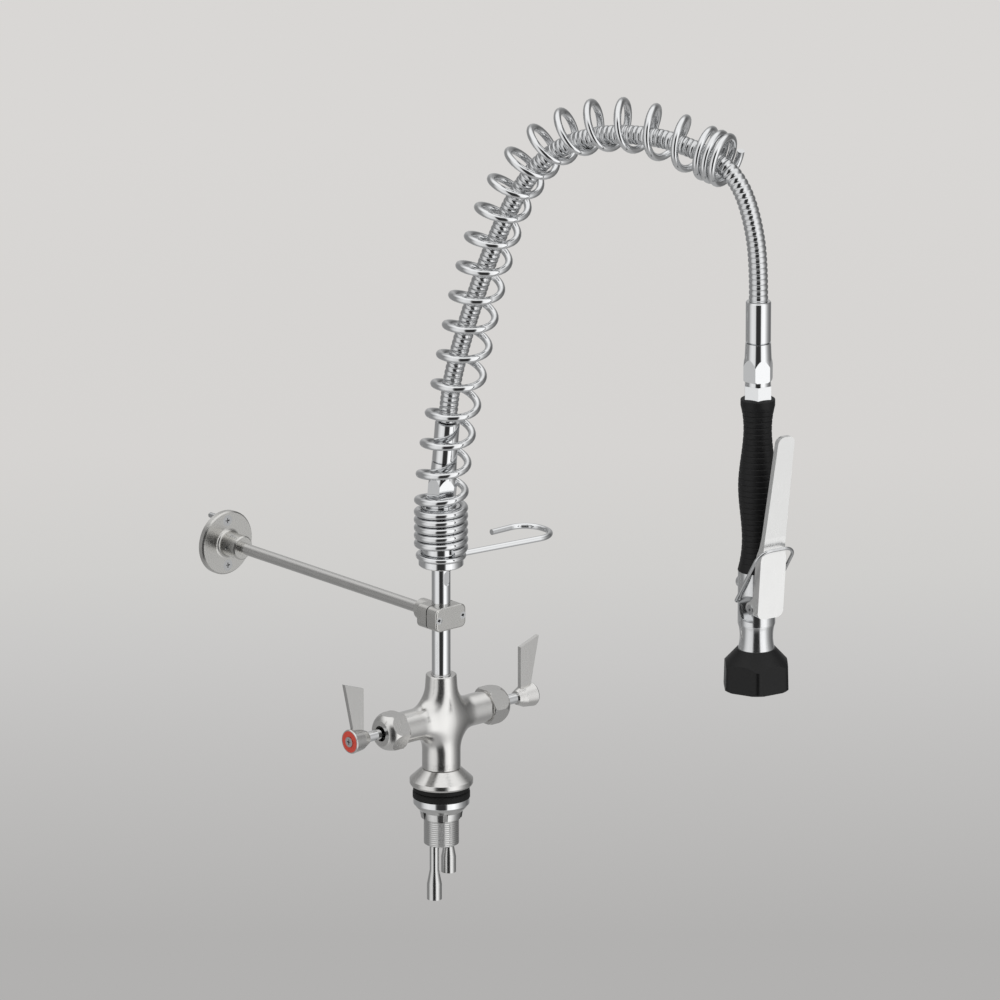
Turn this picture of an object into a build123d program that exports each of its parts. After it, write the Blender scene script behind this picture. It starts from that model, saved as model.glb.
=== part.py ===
"""A deck-mounted pre-rinse faucet: two-valve mixer, riser with wall bracket, sprung hose and spray gun.

Millimetres. The origin is on the column's axis, on the deck's top face. +Z is up, +Y is towards the
wall, -Y is towards the user, -X is the hot side and +X is the cold side.
"""

import math
import os

from build123d import *

os.makedirs("parts", exist_ok=True)

# Fits shared by all pieces.
running_fit = 0.05  # radial clearance of a shaft that turns in a bore
rest_gap = 0.3  # between round pieces that only rest on each other
Z_AXIS = Axis((0, 0, 0), (0, 0, 1))

# Deck fixing, from the flange down.
gasket_radius = 24
gasket_thick = 5.5
flange_radius = 27
flange_height = 14.6
flange_rim = 5
shank_radius = 15.1  # G7/8 thread
shank_bore = 12.2
shank_bottom = -47.5
shank_spigot_radius = 14.2
shank_spigot_top = 27
washer_radius = 24
washer_thick = 6
lock_nut_top_radius = 23
lock_nut_bottom_radius = 17.5
lock_nut_height = 12
lock_nut_slots = 6
tail_radius = 4
tail_bore = 2.8
tail_spacing = 8  # each tail's distance from the column's axis
tail_top = 34
socket_radius = 6.4
socket_length = 13.5
socket_taper = 12.5
tail_bottom = {"hot": -95.5, "cold": -74.5}

# Mixer body.
pillar_radius = 16.4
arm_height = 64
arm_radius = 13.6
arm_root_radius = 16
arm_root = 12
arm_blend_end = 26
arm_shoulder = 47.5  # where the bonnet nut meets the arm
arm_end = 55
thread_radius = 12
body_collar_radius = 13
body_collar_taper = 1.1
body_collar_top = 103
body_collar_length = 17
water_bore = 5
mixing_bore = 6
riser_socket_depth = 14

# Valves and handles, measured along each arm.
cartridge_radius = 9
cartridge_start = 26
cartridge_flange = 3
nut_corner_radius = 17.1
nut_end = 68
nut_face_radius = 11
nut_hole_radius = 6.7
spindle_radius = 4.5
spindle_start = 32
spindle_end = 93
boss_start = 84
boss_end = 100.8
boss_radius = 10.4
boss_neck_radius = 6
blade_thick = 3.8
blade_inner = 88
blade_outer_foot = 99.5
blade_outer_tip = 108.5
blade_inner_top = 44.5
blade_outer_top = 51.5
index_ring_thick = 1.5
index_ring_bore = 4.6
index_ring_rim = 1.2  # of the boss, round the ring
handle_screw_radius = 2
handle_screw_head = 4.4

# Riser and wall bracket.
riser_radius = 8
riser_bore = 6.5
riser_top = 249
flat_height = 188.7
flat_length = 12.8
flat_width = 6.2
flat_depth = 0.8
clamp_height = 155
clamp_width = 33
clamp_tall = 20.5
clamp_depth = 13
clamp_split = 0.5
clamp_corner = 5
clamp_screw_spacing = 26.4
clamp_screw_radius = 2
clamp_screw_head = 3.2
clamp_screw_sink = 3
clamp_boss_radius = 9.2
clamp_boss_length = 12
rod_radius = 5
rod_start = 14
wall_plane = 285
wall_flange_radius = 28
wall_flange_thick = 5.3
wall_collar_radius = 10.5
wall_collar_length = 20.7
wall_screw_spacing = 40
wall_screw_radius = 2.4
wall_screw_neck_radius = 2.8  # within the flange
wall_screw_head = 5
wall_screw_length = 26
grub_radius = 2

# Spring seat, hook and spring.
seat_bottom = 199
seat_radius = 19
seat_cap = 6
sleeve_radius = 16
sleeve_bore = 13.2
sleeve_top = 251.5
hook_wire = 2.5
hook_ring_radius = 18.9
hook_reach = 116
hook_width = 44
hook_bend = 19
hook_return = 76
spring_wire = 3.2
spring_radius = 19.8  # to the middle of the wire
closed_pitch = 6.9
open_pitch = 26.9
end_pitch = 7.6
closed_turns = 5
ramp_turns = 1.5
open_turns = 17.7
end_ramp_turns = 0.7
end_turns = 2.5
first_turn_angle = 151
steps_per_turn = 8

# The arch that the spring stands in: an upright plane through the column, turned from the front.
swing = 18.5
arch_start = 246
arch_points = [(0, arch_start), (16.2, 358), (47.3, 485), (102.5, 578), (187, 606.2), (256, 592)]
arch_end_fall = 13.5  # degrees below level
arch_end_length = 30

# Hose fittings, the same at both ends.
lean = 5  # of the lower fittings, towards the arch
fitting_nut_length = 32.4
fitting_nut_hex = 16
fitting_nut_radius = 12.9
fitting_nut_turn = 16.7  # of its flats, from the trigger's plane
fitting_nut_top_radius = 11.2
ferrule_length = 35.4
ferrule_radius = 10.5
ferrule_tail_radius = 6
ferrule_flange_radius = 8.6
ferrule_flange = 4
nipple_radius = 8.9
nipple_length = 17.9
fitting_washer = 2
adapter_neck = 6.8
adapter_neck_radius = 12.8
adapter_spigot_length = 17
oring_wire = 1.2
hose_radius = 8
hose_bore = 4.75
hose_lead_length = 28

# Spray gun. Heights are above the deck; "out" is the distance from the gun's axis to its front.
gun_reach = 304
gun_turn = -9  # of the trigger, from the front
gun_inlet_height = 405
gun_neck_radius = 10.6
gun_neck_length = 3.6
gun_hex_radius = 12.5
gun_hex_bottom = 390
gun_hex_turn = 27.7  # of its flats, from the trigger's plane
inlet_bore = 4.5
inlet_spigot_length = 10
tube_radius = 8.5
tube_bore = 6
tube_bottom = 234
grip_bottom = 241.3
grip_top = 389.8
grip_bottom_radius = 16.1
grip_waist_radius = 12.6
grip_waist_height = 269.5
grip_swell_radius = 16
grip_swell_height = 315.3
grip_neck_radius = 11.9
grip_neck_height = 367
grip_top_radius = 14.4
grip_collar = 6
body_radius = 15.7
body_groove_height = 195.7
body_bottom = 174
body_waist_radius = 13.9
body_foot_radius = 15.3

# Nozzle and bumper.
nozzle_radius = 23
nozzle_wall = 2.5
nozzle_shoulder = 161
nozzle_bottom = 148
nozzle_neck_radius = 14.5
plate_thick = 3
spray_hole = 0.9
bumper_bottom = 139.5
bumper_corner_radius = 30.5
bumper_corner_fillet = 6
bumper_top_radius = 16.8
bumper_cone_foot = 158.5
bumper_mouth = 19.5

# Trigger, its valve and the hold bail.
pivot_out = 9
pivot_height = 211
pin_radius = 2.5
pin_head_radius = 4.3
pin_socket_radius = 1.7
ear_radius = 6.5
ear_room = 5  # round the trigger's ears, in the body's side flats
lever_wall = 1.5
shield_half_width = 12.6
handle_half_width = 10.6
lever_tip_half_width = 7.9
shield_bottom = 204.5
shield_top = 262
lever_knee = 276
lever_top = 367
flat_half_width = 10.7
valve_height = 226
valve_bore = 5
stem_radius = 2.5
stem_head_radius = 3.5
stem_head = 2
stem_back = -13
stem_front = 20.4
seal_front = 11
seal_thick = 3
gland_front = 18
cap_radius = 5.5
cap_back = -24.5
cap_thread_front = -9
cap_chamber = 3.7
valve_spring_wire = 0.4
valve_spring_radius = 2.6
valve_spring_turns = 5
bail_wire = 1.4
bail_out = -4
bail_height = 216
bail_angle = 55
bail_half_width = 18
bail_bend = 12
bail_length = 62
bail_tip = 12

# Working planes and directions.
arch_direction = Vector(math.sin(math.radians(swing)), -math.cos(math.radians(swing)), 0)
arch_plane = Plane(origin=(0, 0, 0), x_dir=arch_direction, z_dir=arch_direction.cross(Vector(0, 0, 1)))
gun_x = gun_reach * arch_direction.X
gun_y = gun_reach * arch_direction.Y
gun_axis = Axis((gun_x, gun_y, 0), (0, 0, 1))
out_direction = Vector(math.sin(math.radians(gun_turn)), -math.cos(math.radians(gun_turn)), 0)
side_direction = out_direction.cross(Vector(0, 0, 1))
gun_side = Plane(origin=(gun_x, gun_y, 0), x_dir=out_direction, z_dir=side_direction)


def gun_level(height):
    """A level plane through the gun, with x to its front."""
    return Plane(origin=(gun_x, gun_y, height), x_dir=out_direction, z_dir=(0, 0, 1))


def gun_section(out, height=valve_height):
    """A plane across the valve's axis, facing the front of the gun."""
    centre = Vector(gun_x, gun_y, height) + out_direction * out
    return Plane(origin=centre, x_dir=-side_direction, z_dir=out_direction)


def across_arm(side, distance):
    """A plane across one arm of the mixer, facing away from the column."""
    return Plane(origin=(side * distance, 0, arm_height), x_dir=(0, 1, 0), z_dir=(side, 0, 0))


# ---------------------------------------------------------------- deck fixing

flange_bottom = gasket_thick
flange_top = flange_bottom + flange_height

with BuildPart() as base_flange:
    with BuildSketch(Plane.XZ):
        with BuildLine():
            Polyline(
                (shank_spigot_radius, flange_bottom),
                (flange_radius - 0.8, flange_bottom),
                (flange_radius, flange_bottom + 1.5),
                (flange_radius, flange_bottom + flange_rim),
                (pillar_radius + 0.4, flange_top),
                (shank_spigot_radius, flange_top),
                close=True,
            )
        make_face()
    revolve(axis=Z_AXIS)
base_flange.part.label = "base_flange"
export_step(base_flange.part, "parts/base_flange.step")

with BuildPart() as deck_gasket:
    with BuildSketch(Plane.XY):
        Circle(gasket_radius)
        Circle(shank_radius, mode=Mode.SUBTRACT)
    extrude(amount=gasket_thick)
    chamfer(deck_gasket.edges().group_by(Axis.Z)[0].sort_by(SortBy.RADIUS)[-1], 1)
deck_gasket.part.label = "deck_gasket"
export_step(deck_gasket.part, "parts/deck_gasket.step")

with BuildPart() as under_deck_gasket:
    with BuildSketch(Plane.XY):
        Circle(gasket_radius + 0.4)
        Circle(shank_radius, mode=Mode.SUBTRACT)
    extrude(amount=-gasket_thick)
    chamfer(under_deck_gasket.edges().group_by(Axis.Z)[-1].sort_by(SortBy.RADIUS)[-1], 1)
under_deck_gasket.part.label = "under_deck_gasket"
export_step(under_deck_gasket.part, "parts/under_deck_gasket.step")

washer_top = -gasket_thick
washer_bottom = washer_top - washer_thick
with BuildPart() as clamp_washer:
    with BuildSketch(Plane.XY.offset(washer_top)):
        Circle(washer_radius)
        Circle(shank_radius, mode=Mode.SUBTRACT)
    extrude(amount=-washer_thick)
    fillet(clamp_washer.edges().filter_by(GeomType.CIRCLE).sort_by(SortBy.RADIUS)[-2:], 0.8)
clamp_washer.part.label = "clamp_washer"
export_step(clamp_washer.part, "parts/clamp_washer.step")

lock_nut_bottom = washer_bottom - lock_nut_height
with BuildPart() as lock_nut:
    with BuildSketch(Plane.XZ):
        with BuildLine():
            Polyline(
                (shank_radius, washer_bottom),
                (lock_nut_top_radius, washer_bottom),
                (lock_nut_top_radius - 1, washer_bottom - 2),
                (lock_nut_bottom_radius + 1, lock_nut_bottom + 6),
                (lock_nut_bottom_radius, lock_nut_bottom),
                (shank_radius, lock_nut_bottom),
                close=True,
            )
        make_face()
    revolve(axis=Z_AXIS)
    with BuildSketch(Plane.XY.offset(lock_nut_bottom)):
        with PolarLocations(lock_nut_bottom_radius + 2.4, lock_nut_slots):
            Rectangle(6, 4)
    extrude(amount=7, mode=Mode.SUBTRACT)
lock_nut.part.label = "lock_nut"
export_step(lock_nut.part, "parts/lock_nut.step")

with BuildPart() as threaded_shank:
    with BuildSketch(Plane.XZ):
        with BuildLine():
            Polyline(
                (shank_bore, shank_bottom),
                (shank_radius - 2, shank_bottom),
                (shank_radius, shank_bottom + 2.5),
                (shank_radius, flange_bottom),
                (shank_spigot_radius, flange_bottom),
                (shank_spigot_radius, shank_spigot_top),
                (shank_bore, shank_spigot_top),
                close=True,
            )
        make_face()
    revolve(axis=Z_AXIS)
threaded_shank.part.label = "threaded_shank"
export_step(threaded_shank.part, "parts/threaded_shank.step")

for name, side in (("hot", -1), ("cold", 1)):
    bottom = tail_bottom[name]
    with BuildPart() as tail:
        with BuildSketch(Plane.XZ.move(Location((side * tail_spacing, 0, 0)))):
            with BuildLine():
                Polyline(
                    (tail_bore, tail_top),
                    (tail_radius, tail_top),
                    (tail_radius, bottom + socket_length + socket_taper),
                    (socket_radius, bottom + socket_length),
                    (socket_radius, bottom),
                    (socket_radius - 1.2, bottom),
                    (socket_radius - 1.2, bottom + socket_length),
                    (tail_bore, bottom + socket_length + socket_taper),
                    close=True,
                )
            make_face()
        revolve(axis=Axis((side * tail_spacing, 0, 0), (0, 0, 1)))
    tail.part.label = f"{name}_supply_tail"
    export_step(tail.part, f"parts/{name}_supply_tail.step")

# ----------------------------------------------------------------- mixer body

with BuildPart() as mixer_body:
    with BuildSketch(Plane.XZ):
        with BuildLine():
            Polyline(
                (0, flange_top),
                (pillar_radius, flange_top),
                (pillar_radius, arm_height),
                (pillar_radius - 1.5, arm_height + 14),
                (body_collar_radius + body_collar_taper, body_collar_top - body_collar_length),
                (body_collar_radius, body_collar_top),
                (0, body_collar_top),
                close=True,
            )
        make_face()
    revolve(axis=Z_AXIS)
    for side in (-1, 1):
        with BuildSketch(Plane(origin=(0, 0, arm_height), x_dir=(side, 0, 0), z_dir=(0, -side, 0))):
            with BuildLine():
                Polyline((arm_blend_end, arm_radius), (arm_shoulder, arm_radius), (arm_shoulder, 0), (0, 0))
                Polyline((0, 0), (0, arm_root_radius), (arm_root, arm_root_radius))
                Spline(
                    (arm_root, arm_root_radius),
                    (arm_blend_end, arm_radius),
                    tangents=[(1, -1), (1, 0)],
                )
            make_face()
        revolve(axis=Axis((0, 0, arm_height), (side, 0, 0)))
    for side in (-1, 1):
        with BuildSketch(across_arm(side, arm_shoulder)):
            Circle(thread_radius)
        extrude(amount=arm_end - arm_shoulder)
        with BuildSketch(across_arm(side, cartridge_start)):
            Circle(cartridge_radius)
        extrude(amount=arm_end - cartridge_start, mode=Mode.SUBTRACT)
        with BuildSketch(across_arm(side, 0)):
            Circle(water_bore)
        extrude(amount=cartridge_start, mode=Mode.SUBTRACT)
        with BuildSketch(Plane.XY.offset(tail_top)):
            with Locations((side * tail_spacing, 0)):
                Circle(tail_bore)
        extrude(amount=arm_height - tail_top, mode=Mode.SUBTRACT)
        with BuildSketch(Plane.XY.offset(shank_spigot_top)):
            with Locations((side * tail_spacing, 0)):
                Circle(tail_radius)
        extrude(amount=tail_top - shank_spigot_top, mode=Mode.SUBTRACT)
    with BuildSketch(Plane.XY.offset(flange_top)):
        Circle(shank_spigot_radius)
    extrude(amount=shank_spigot_top - flange_top, mode=Mode.SUBTRACT)
    with BuildSketch(Plane.XY.offset(arm_height)):
        Circle(mixing_bore)
    extrude(amount=body_collar_top - arm_height, mode=Mode.SUBTRACT)
    with BuildSketch(Plane.XY.offset(body_collar_top)):
        Circle(riser_radius)
    extrude(amount=-riser_socket_depth, mode=Mode.SUBTRACT)
mixer_body.part.label = "mixer_body"
export_step(mixer_body.part, "parts/mixer_body.step")

# ------------------------------------------------------- valves and handles

flange_seat = arm_end + cartridge_flange
boss_front = boss_end + index_ring_thick
index_ring_radius = boss_radius - index_ring_rim
for name, side in (("hot", -1), ("cold", 1)):
    arm_axis = Axis((0, 0, arm_height), (side, 0, 0))
    arm_plane = Plane(origin=(0, 0, arm_height), x_dir=(side, 0, 0), z_dir=(0, -side, 0))

    with BuildPart() as cartridge:
        with BuildSketch(arm_plane):
            with BuildLine():
                Polyline(
                    (cartridge_start, 0),
                    (cartridge_start, cartridge_radius),
                    (arm_end, cartridge_radius),
                    (arm_end, thread_radius),
                    (flange_seat, thread_radius),
                    (flange_seat, spindle_radius + running_fit),
                    (spindle_start, spindle_radius + running_fit),
                    (spindle_start, 0),
                    close=True,
                )
            make_face()
        revolve(axis=arm_axis)
    cartridge.part.label = f"{name}_cartridge"
    export_step(cartridge.part, f"parts/{name}_cartridge.step")

    with BuildPart() as bonnet_nut:
        with BuildSketch(across_arm(side, arm_shoulder)):
            RegularPolygon(nut_corner_radius, 6)
        extrude(amount=nut_end - arm_shoulder)
        with BuildSketch(arm_plane):
            with BuildLine():
                outline = Polyline(
                    (nut_end, nut_face_radius),
                    (nut_end, 0),
                    (arm_shoulder, 0),
                    (arm_shoulder, nut_corner_radius - 1.2),
                    (arm_shoulder + 2, nut_corner_radius),
                )
                dome_start = (arm_shoulder + 9, nut_corner_radius)
                Line(outline @ 1, dome_start)
                ThreePointArc(dome_start, (nut_end - 5, nut_corner_radius - 1.6), outline @ 0)
            make_face()
        revolve(axis=arm_axis, mode=Mode.INTERSECT)
        with BuildSketch(across_arm(side, arm_shoulder)):
            Circle(thread_radius)
        extrude(amount=flange_seat - arm_shoulder, mode=Mode.SUBTRACT)
        with BuildSketch(across_arm(side, flange_seat)):
            Circle(nut_hole_radius)
        extrude(amount=nut_end - flange_seat, mode=Mode.SUBTRACT)
    bonnet_nut.part.label = f"{name}_bonnet_nut"
    export_step(bonnet_nut.part, f"parts/{name}_bonnet_nut.step")

    with BuildPart() as spindle:
        with BuildSketch(across_arm(side, spindle_start)):
            Circle(spindle_radius)
        extrude(amount=spindle_end - spindle_start)
        with BuildSketch(across_arm(side, spindle_end)):
            Circle(handle_screw_radius)
        extrude(amount=boss_start - spindle_end, mode=Mode.SUBTRACT)
    spindle.part.label = f"{name}_spindle"
    export_step(spindle.part, f"parts/{name}_spindle.step")

    with BuildPart() as handle:
        with BuildSketch(arm_plane):
            with BuildLine():
                Polyline(
                    (boss_start, 0),
                    (boss_start, boss_neck_radius),
                    (boss_start + 7, boss_radius - 1.2),
                    (boss_front - 1, boss_radius),
                    (boss_front, boss_radius - 0.5),
                    (boss_front, 0),
                    close=True,
                )
            make_face()
        revolve(axis=arm_axis)
        with BuildSketch(Plane(origin=(0, 0, arm_height), x_dir=(side, 0, 0), z_dir=(0, -side, 0))):
            with BuildLine():
                Polyline(
                    (blade_inner, boss_neck_radius),
                    (blade_outer_foot, boss_neck_radius),
                    (blade_outer_foot, boss_radius),
                    (blade_outer_tip, blade_outer_top),
                    (blade_inner, blade_inner_top),
                    close=True,
                )
            blade_face = make_face()
            fillet(blade_face.vertices().sort_by(Axis.Z)[-2], 2.5)
        extrude(amount=blade_thick / 2, both=True)
        with BuildSketch(across_arm(side, boss_start)):
            Circle(spindle_radius)
        extrude(amount=spindle_end - boss_start, mode=Mode.SUBTRACT)
        with BuildSketch(across_arm(side, spindle_end)):
            Circle(handle_screw_radius)
        extrude(amount=boss_end - spindle_end, mode=Mode.SUBTRACT)
        with BuildSketch(across_arm(side, boss_end)):
            Circle(index_ring_radius)
        extrude(amount=index_ring_thick, mode=Mode.SUBTRACT)
    handle.part.label = f"{name}_handle"
    export_step(handle.part, f"parts/{name}_handle.step")

    with BuildPart() as index_ring:
        with BuildSketch(across_arm(side, boss_end)):
            Circle(index_ring_radius)
            Circle(index_ring_bore, mode=Mode.SUBTRACT)
        extrude(amount=index_ring_thick)
    index_ring.part.label = f"{name}_index_ring"
    export_step(index_ring.part, f"parts/{name}_index_ring.step")

    with BuildPart() as handle_screw:
        with BuildSketch(across_arm(side, boss_start)):
            Circle(handle_screw_radius)
        extrude(amount=boss_end - boss_start)
        with BuildSketch(across_arm(side, boss_end)):
            Circle(handle_screw_head)
        extrude(amount=index_ring_thick + 0.8)
        with BuildSketch(across_arm(side, boss_end + index_ring_thick + 0.8)):
            Rectangle(4.6, 1)
            Rectangle(1, 4.6)
        extrude(amount=-1.4, mode=Mode.SUBTRACT)
    handle_screw.part.label = f"{name}_handle_screw"
    export_step(handle_screw.part, f"parts/{name}_handle_screw.step")

# --------------------------------------------------- riser and wall bracket

riser_bottom = body_collar_top - riser_socket_depth
with BuildPart() as riser_tube:
    with BuildSketch(Plane.XY.offset(riser_bottom)):
        Circle(riser_radius)
        Circle(riser_bore, mode=Mode.SUBTRACT)
    extrude(amount=riser_top - riser_bottom)
    for facing in (-1, 1):
        flat = Plane(
            origin=(0, facing * (riser_radius - flat_depth), flat_height),
            x_dir=(0, 0, 1),
            z_dir=(0, facing, 0),
        )
        with BuildSketch(flat):
            SlotOverall(flat_length, flat_width)
        extrude(amount=flat_depth + 1, mode=Mode.SUBTRACT)
riser_tube.part.label = "riser_tube"
export_step(riser_tube.part, "parts/riser_tube.step")

for name, facing in (("front", -1), ("rear", 1)):
    split = Plane(
        origin=(0, facing * clamp_split, clamp_height), x_dir=(facing, 0, 0), z_dir=(0, facing, 0)
    )
    block_thick = clamp_depth - clamp_split
    with BuildPart() as clamp:
        with BuildSketch(split):
            RectangleRounded(clamp_width, clamp_tall, clamp_corner)
        extrude(amount=block_thick)
        fillet(clamp.faces().sort_by(Axis.Y)[0 if facing < 0 else -1].edges(), 1.5)
        if name == "rear":
            with BuildSketch(split.offset(block_thick)):
                Circle(clamp_boss_radius)
            extrude(amount=clamp_boss_length)
            with BuildSketch(split.offset(rod_start - clamp_split)):
                Circle(rod_radius)
            extrude(amount=clamp_boss_length, mode=Mode.SUBTRACT)
        with BuildSketch(Plane.XY.offset(clamp_height - clamp_tall / 2)):
            Circle(riser_radius)
        extrude(amount=clamp_tall, mode=Mode.SUBTRACT)
        with BuildSketch(split):
            with GridLocations(clamp_screw_spacing, 1, 2, 1):
                Circle(clamp_screw_radius)
        extrude(amount=block_thick if name == "front" else block_thick - 3, mode=Mode.SUBTRACT)
        if name == "front":
            with BuildSketch(split.offset(block_thick)):
                with GridLocations(clamp_screw_spacing, 1, 2, 1):
                    Circle(clamp_screw_head)
            extrude(amount=-clamp_screw_sink, mode=Mode.SUBTRACT)
    clamp.part.label = f"{name}_clamp"
    export_step(clamp.part, f"parts/{name}_clamp.step")

screw_seat = clamp_depth - clamp_screw_sink
with BuildPart() as clamp_screws:
    with BuildSketch(Plane(origin=(0, -screw_seat, clamp_height), x_dir=(1, 0, 0), z_dir=(0, 1, 0))):
        with GridLocations(clamp_screw_spacing, 1, 2, 1):
            Circle(clamp_screw_radius)
    extrude(amount=screw_seat + clamp_depth - 3)
    with BuildSketch(Plane(origin=(0, -screw_seat, clamp_height), x_dir=(1, 0, 0), z_dir=(0, -1, 0))):
        with GridLocations(clamp_screw_spacing, 1, 2, 1):
            Circle(clamp_screw_head)
    extrude(amount=clamp_screw_sink - 0.2)
    with BuildSketch(
        Plane(origin=(0, 0.2 - clamp_depth, clamp_height), x_dir=(1, 0, 0), z_dir=(0, 1, 0))
    ):
        with GridLocations(clamp_screw_spacing, 1, 2, 1):
            RegularPolygon(1.7, 6)
    extrude(amount=1.8, mode=Mode.SUBTRACT)
clamp_screws.part.label = "clamp_screws"
export_step(clamp_screws.part, "parts/clamp_screws.step")

rod_line = Axis((0, 0, clamp_height), (0, 1, 0))
flange_front = wall_plane - wall_flange_thick
collar_front = flange_front - wall_collar_length
rod_end = wall_plane - 4

with BuildPart() as wall_rod:
    with BuildSketch(Plane(origin=(0, rod_start, clamp_height), x_dir=(1, 0, 0), z_dir=(0, 1, 0))):
        Circle(rod_radius)
    extrude(amount=rod_end - rod_start)
wall_rod.part.label = "wall_rod"
export_step(wall_rod.part, "parts/wall_rod.step")

grub_seat = flange_front - wall_collar_length / 2
with BuildPart() as wall_flange:
    with BuildSketch(Plane(origin=(0, 0, clamp_height), x_dir=(0, 1, 0), z_dir=(1, 0, 0))):
        with BuildLine():
            rim = Polyline(
                (flange_front - 3, wall_collar_radius),
                (collar_front + 1, wall_collar_radius),
                (collar_front, wall_collar_radius - 1),
                (collar_front, 0),
                (wall_plane, 0),
                (wall_plane, wall_flange_radius),
                (flange_front + 1.2, wall_flange_radius),
                (flange_front, wall_flange_radius - 1.2),
                (flange_front, wall_collar_radius + 3),
            )
            RadiusArc(rim @ 1, rim @ 0, 3)
        make_face()
    revolve(axis=rod_line)
    with BuildSketch(Plane(origin=(0, collar_front, clamp_height), x_dir=(1, 0, 0), z_dir=(0, 1, 0))):
        Circle(rod_radius)
    extrude(amount=rod_end - collar_front, mode=Mode.SUBTRACT)
    with Locations(Plane(origin=(0, flange_front, clamp_height), x_dir=(0, 0, 1), z_dir=(0, -1, 0))):
        with GridLocations(wall_screw_spacing, 1, 2, 1):
            CounterSinkHole(wall_screw_neck_radius, wall_screw_head, depth=wall_flange_thick)
    with BuildSketch(Plane(origin=(0, grub_seat, clamp_height), x_dir=(0, 1, 0), z_dir=(-1, 0, 0))):
        Circle(grub_radius)
    extrude(amount=wall_collar_radius, mode=Mode.SUBTRACT)
wall_flange.part.label = "wall_flange"
export_step(wall_flange.part, "parts/wall_flange.step")

with BuildPart() as wall_grub_screw:
    with BuildSketch(
        Plane(origin=(-rod_radius, grub_seat, clamp_height), x_dir=(0, 1, 0), z_dir=(-1, 0, 0))
    ):
        Circle(grub_radius)
    extrude(amount=wall_collar_radius - rod_radius - 0.4)
    with BuildSketch(wall_grub_screw.faces().sort_by(Axis.X)[0]):
        RegularPolygon(0.9, 6)
    extrude(amount=-1.5, mode=Mode.SUBTRACT)
wall_grub_screw.part.label = "wall_grub_screw"
export_step(wall_grub_screw.part, "parts/wall_grub_screw.step")

head_depth = wall_screw_head - wall_screw_neck_radius
with BuildPart() as wall_screws:
    for offset in (-wall_screw_spacing / 2, wall_screw_spacing / 2):
        screw_line = Axis((0, 0, clamp_height + offset), (0, 1, 0))
        with BuildSketch(
            Plane(origin=(0, 0, clamp_height + offset), x_dir=(0, 1, 0), z_dir=(1, 0, 0))
        ):
            Polygon(
                (flange_front, 0),
                (flange_front, wall_screw_head),
                (flange_front + head_depth, wall_screw_neck_radius),
                (wall_plane, wall_screw_neck_radius),
                (wall_plane, wall_screw_radius),
                (flange_front + wall_screw_length - 3, wall_screw_radius),
                (flange_front + wall_screw_length, 0),
                align=None,
            )
        revolve(axis=screw_line)
        with BuildSketch(
            Plane(origin=(0, flange_front, clamp_height + offset), x_dir=(1, 0, 0), z_dir=(0, 1, 0))
        ):
            Rectangle(4.6, 1)
            Rectangle(1, 4.6)
        extrude(amount=1.6, mode=Mode.SUBTRACT)
wall_screws.part.label = "wall_screws"
export_step(wall_screws.part, "parts/wall_screws.step")

# --------------------------------------------------- spring seat, hook, spring

cap_top = seat_bottom + seat_cap
with BuildPart() as spring_seat:
    with BuildSketch(Plane.XZ):
        with BuildLine():
            Polyline(
                (riser_radius, seat_bottom),
                (seat_radius - 1, seat_bottom),
                (seat_radius, seat_bottom + 1),
                (seat_radius, cap_top),
                (sleeve_radius, cap_top),
                (sleeve_radius, sleeve_top),
                (sleeve_bore, sleeve_top),
                (sleeve_bore, cap_top + 6),
                (riser_radius, cap_top + 6),
                close=True,
            )
        make_face()
    revolve(axis=Z_AXIS)
spring_seat.part.label = "spring_seat"
export_step(spring_seat.part, "parts/spring_seat.step")

hook_height = cap_top + rest_gap + hook_wire
with BuildPart() as dish_hook:
    with BuildSketch(Plane.XZ):
        with Locations((hook_ring_radius, hook_height)):
            Circle(hook_wire)
    revolve(axis=Z_AXIS)
    with BuildLine(Plane.XY.offset(hook_height)) as hook_route:
        FilletPolyline(
            (hook_ring_radius - 1.9, -8.5),
            (hook_reach, -hook_width / 2),
            (hook_reach, hook_width / 2),
            (hook_return, hook_width / 2),
            radius=hook_bend,
        )
    with BuildSketch(Plane(hook_route.line @ 0, z_dir=hook_route.line % 0)):
        Circle(hook_wire)
    sweep(path=hook_route.line)
dish_hook.part.label = "dish_hook"
export_step(dish_hook.part, "parts/dish_hook.step")

# The spring's middle line: upright through the seat, over the arch, then straight to its end.
spring_start = hook_height + hook_wire + rest_gap + spring_wire
end_slope = math.radians(arch_end_fall)
end_direction = Vector(math.cos(end_slope), -math.sin(end_slope))
with BuildLine() as middle_line:
    Line((0, spring_start), (0, arch_start))
    Spline(*arch_points, tangents=[(0, 1), end_direction])
    Line(arch_points[-1], Vector(*arch_points[-1]) + end_direction * arch_end_length)
middle = middle_line.wire()


def coil_pitch(turn):
    """How far the spring climbs in one turn, at a number of turns from its lower end."""
    open_start = closed_turns + ramp_turns
    open_stop = open_start + open_turns
    opening = min(max((turn - closed_turns) / ramp_turns, 0), 1)
    closing = min(max((turn - open_stop) / end_ramp_turns, 0), 1)
    low_side = closed_pitch + (open_pitch - closed_pitch) * opening
    return low_side + (end_pitch - open_pitch) * closing


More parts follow.
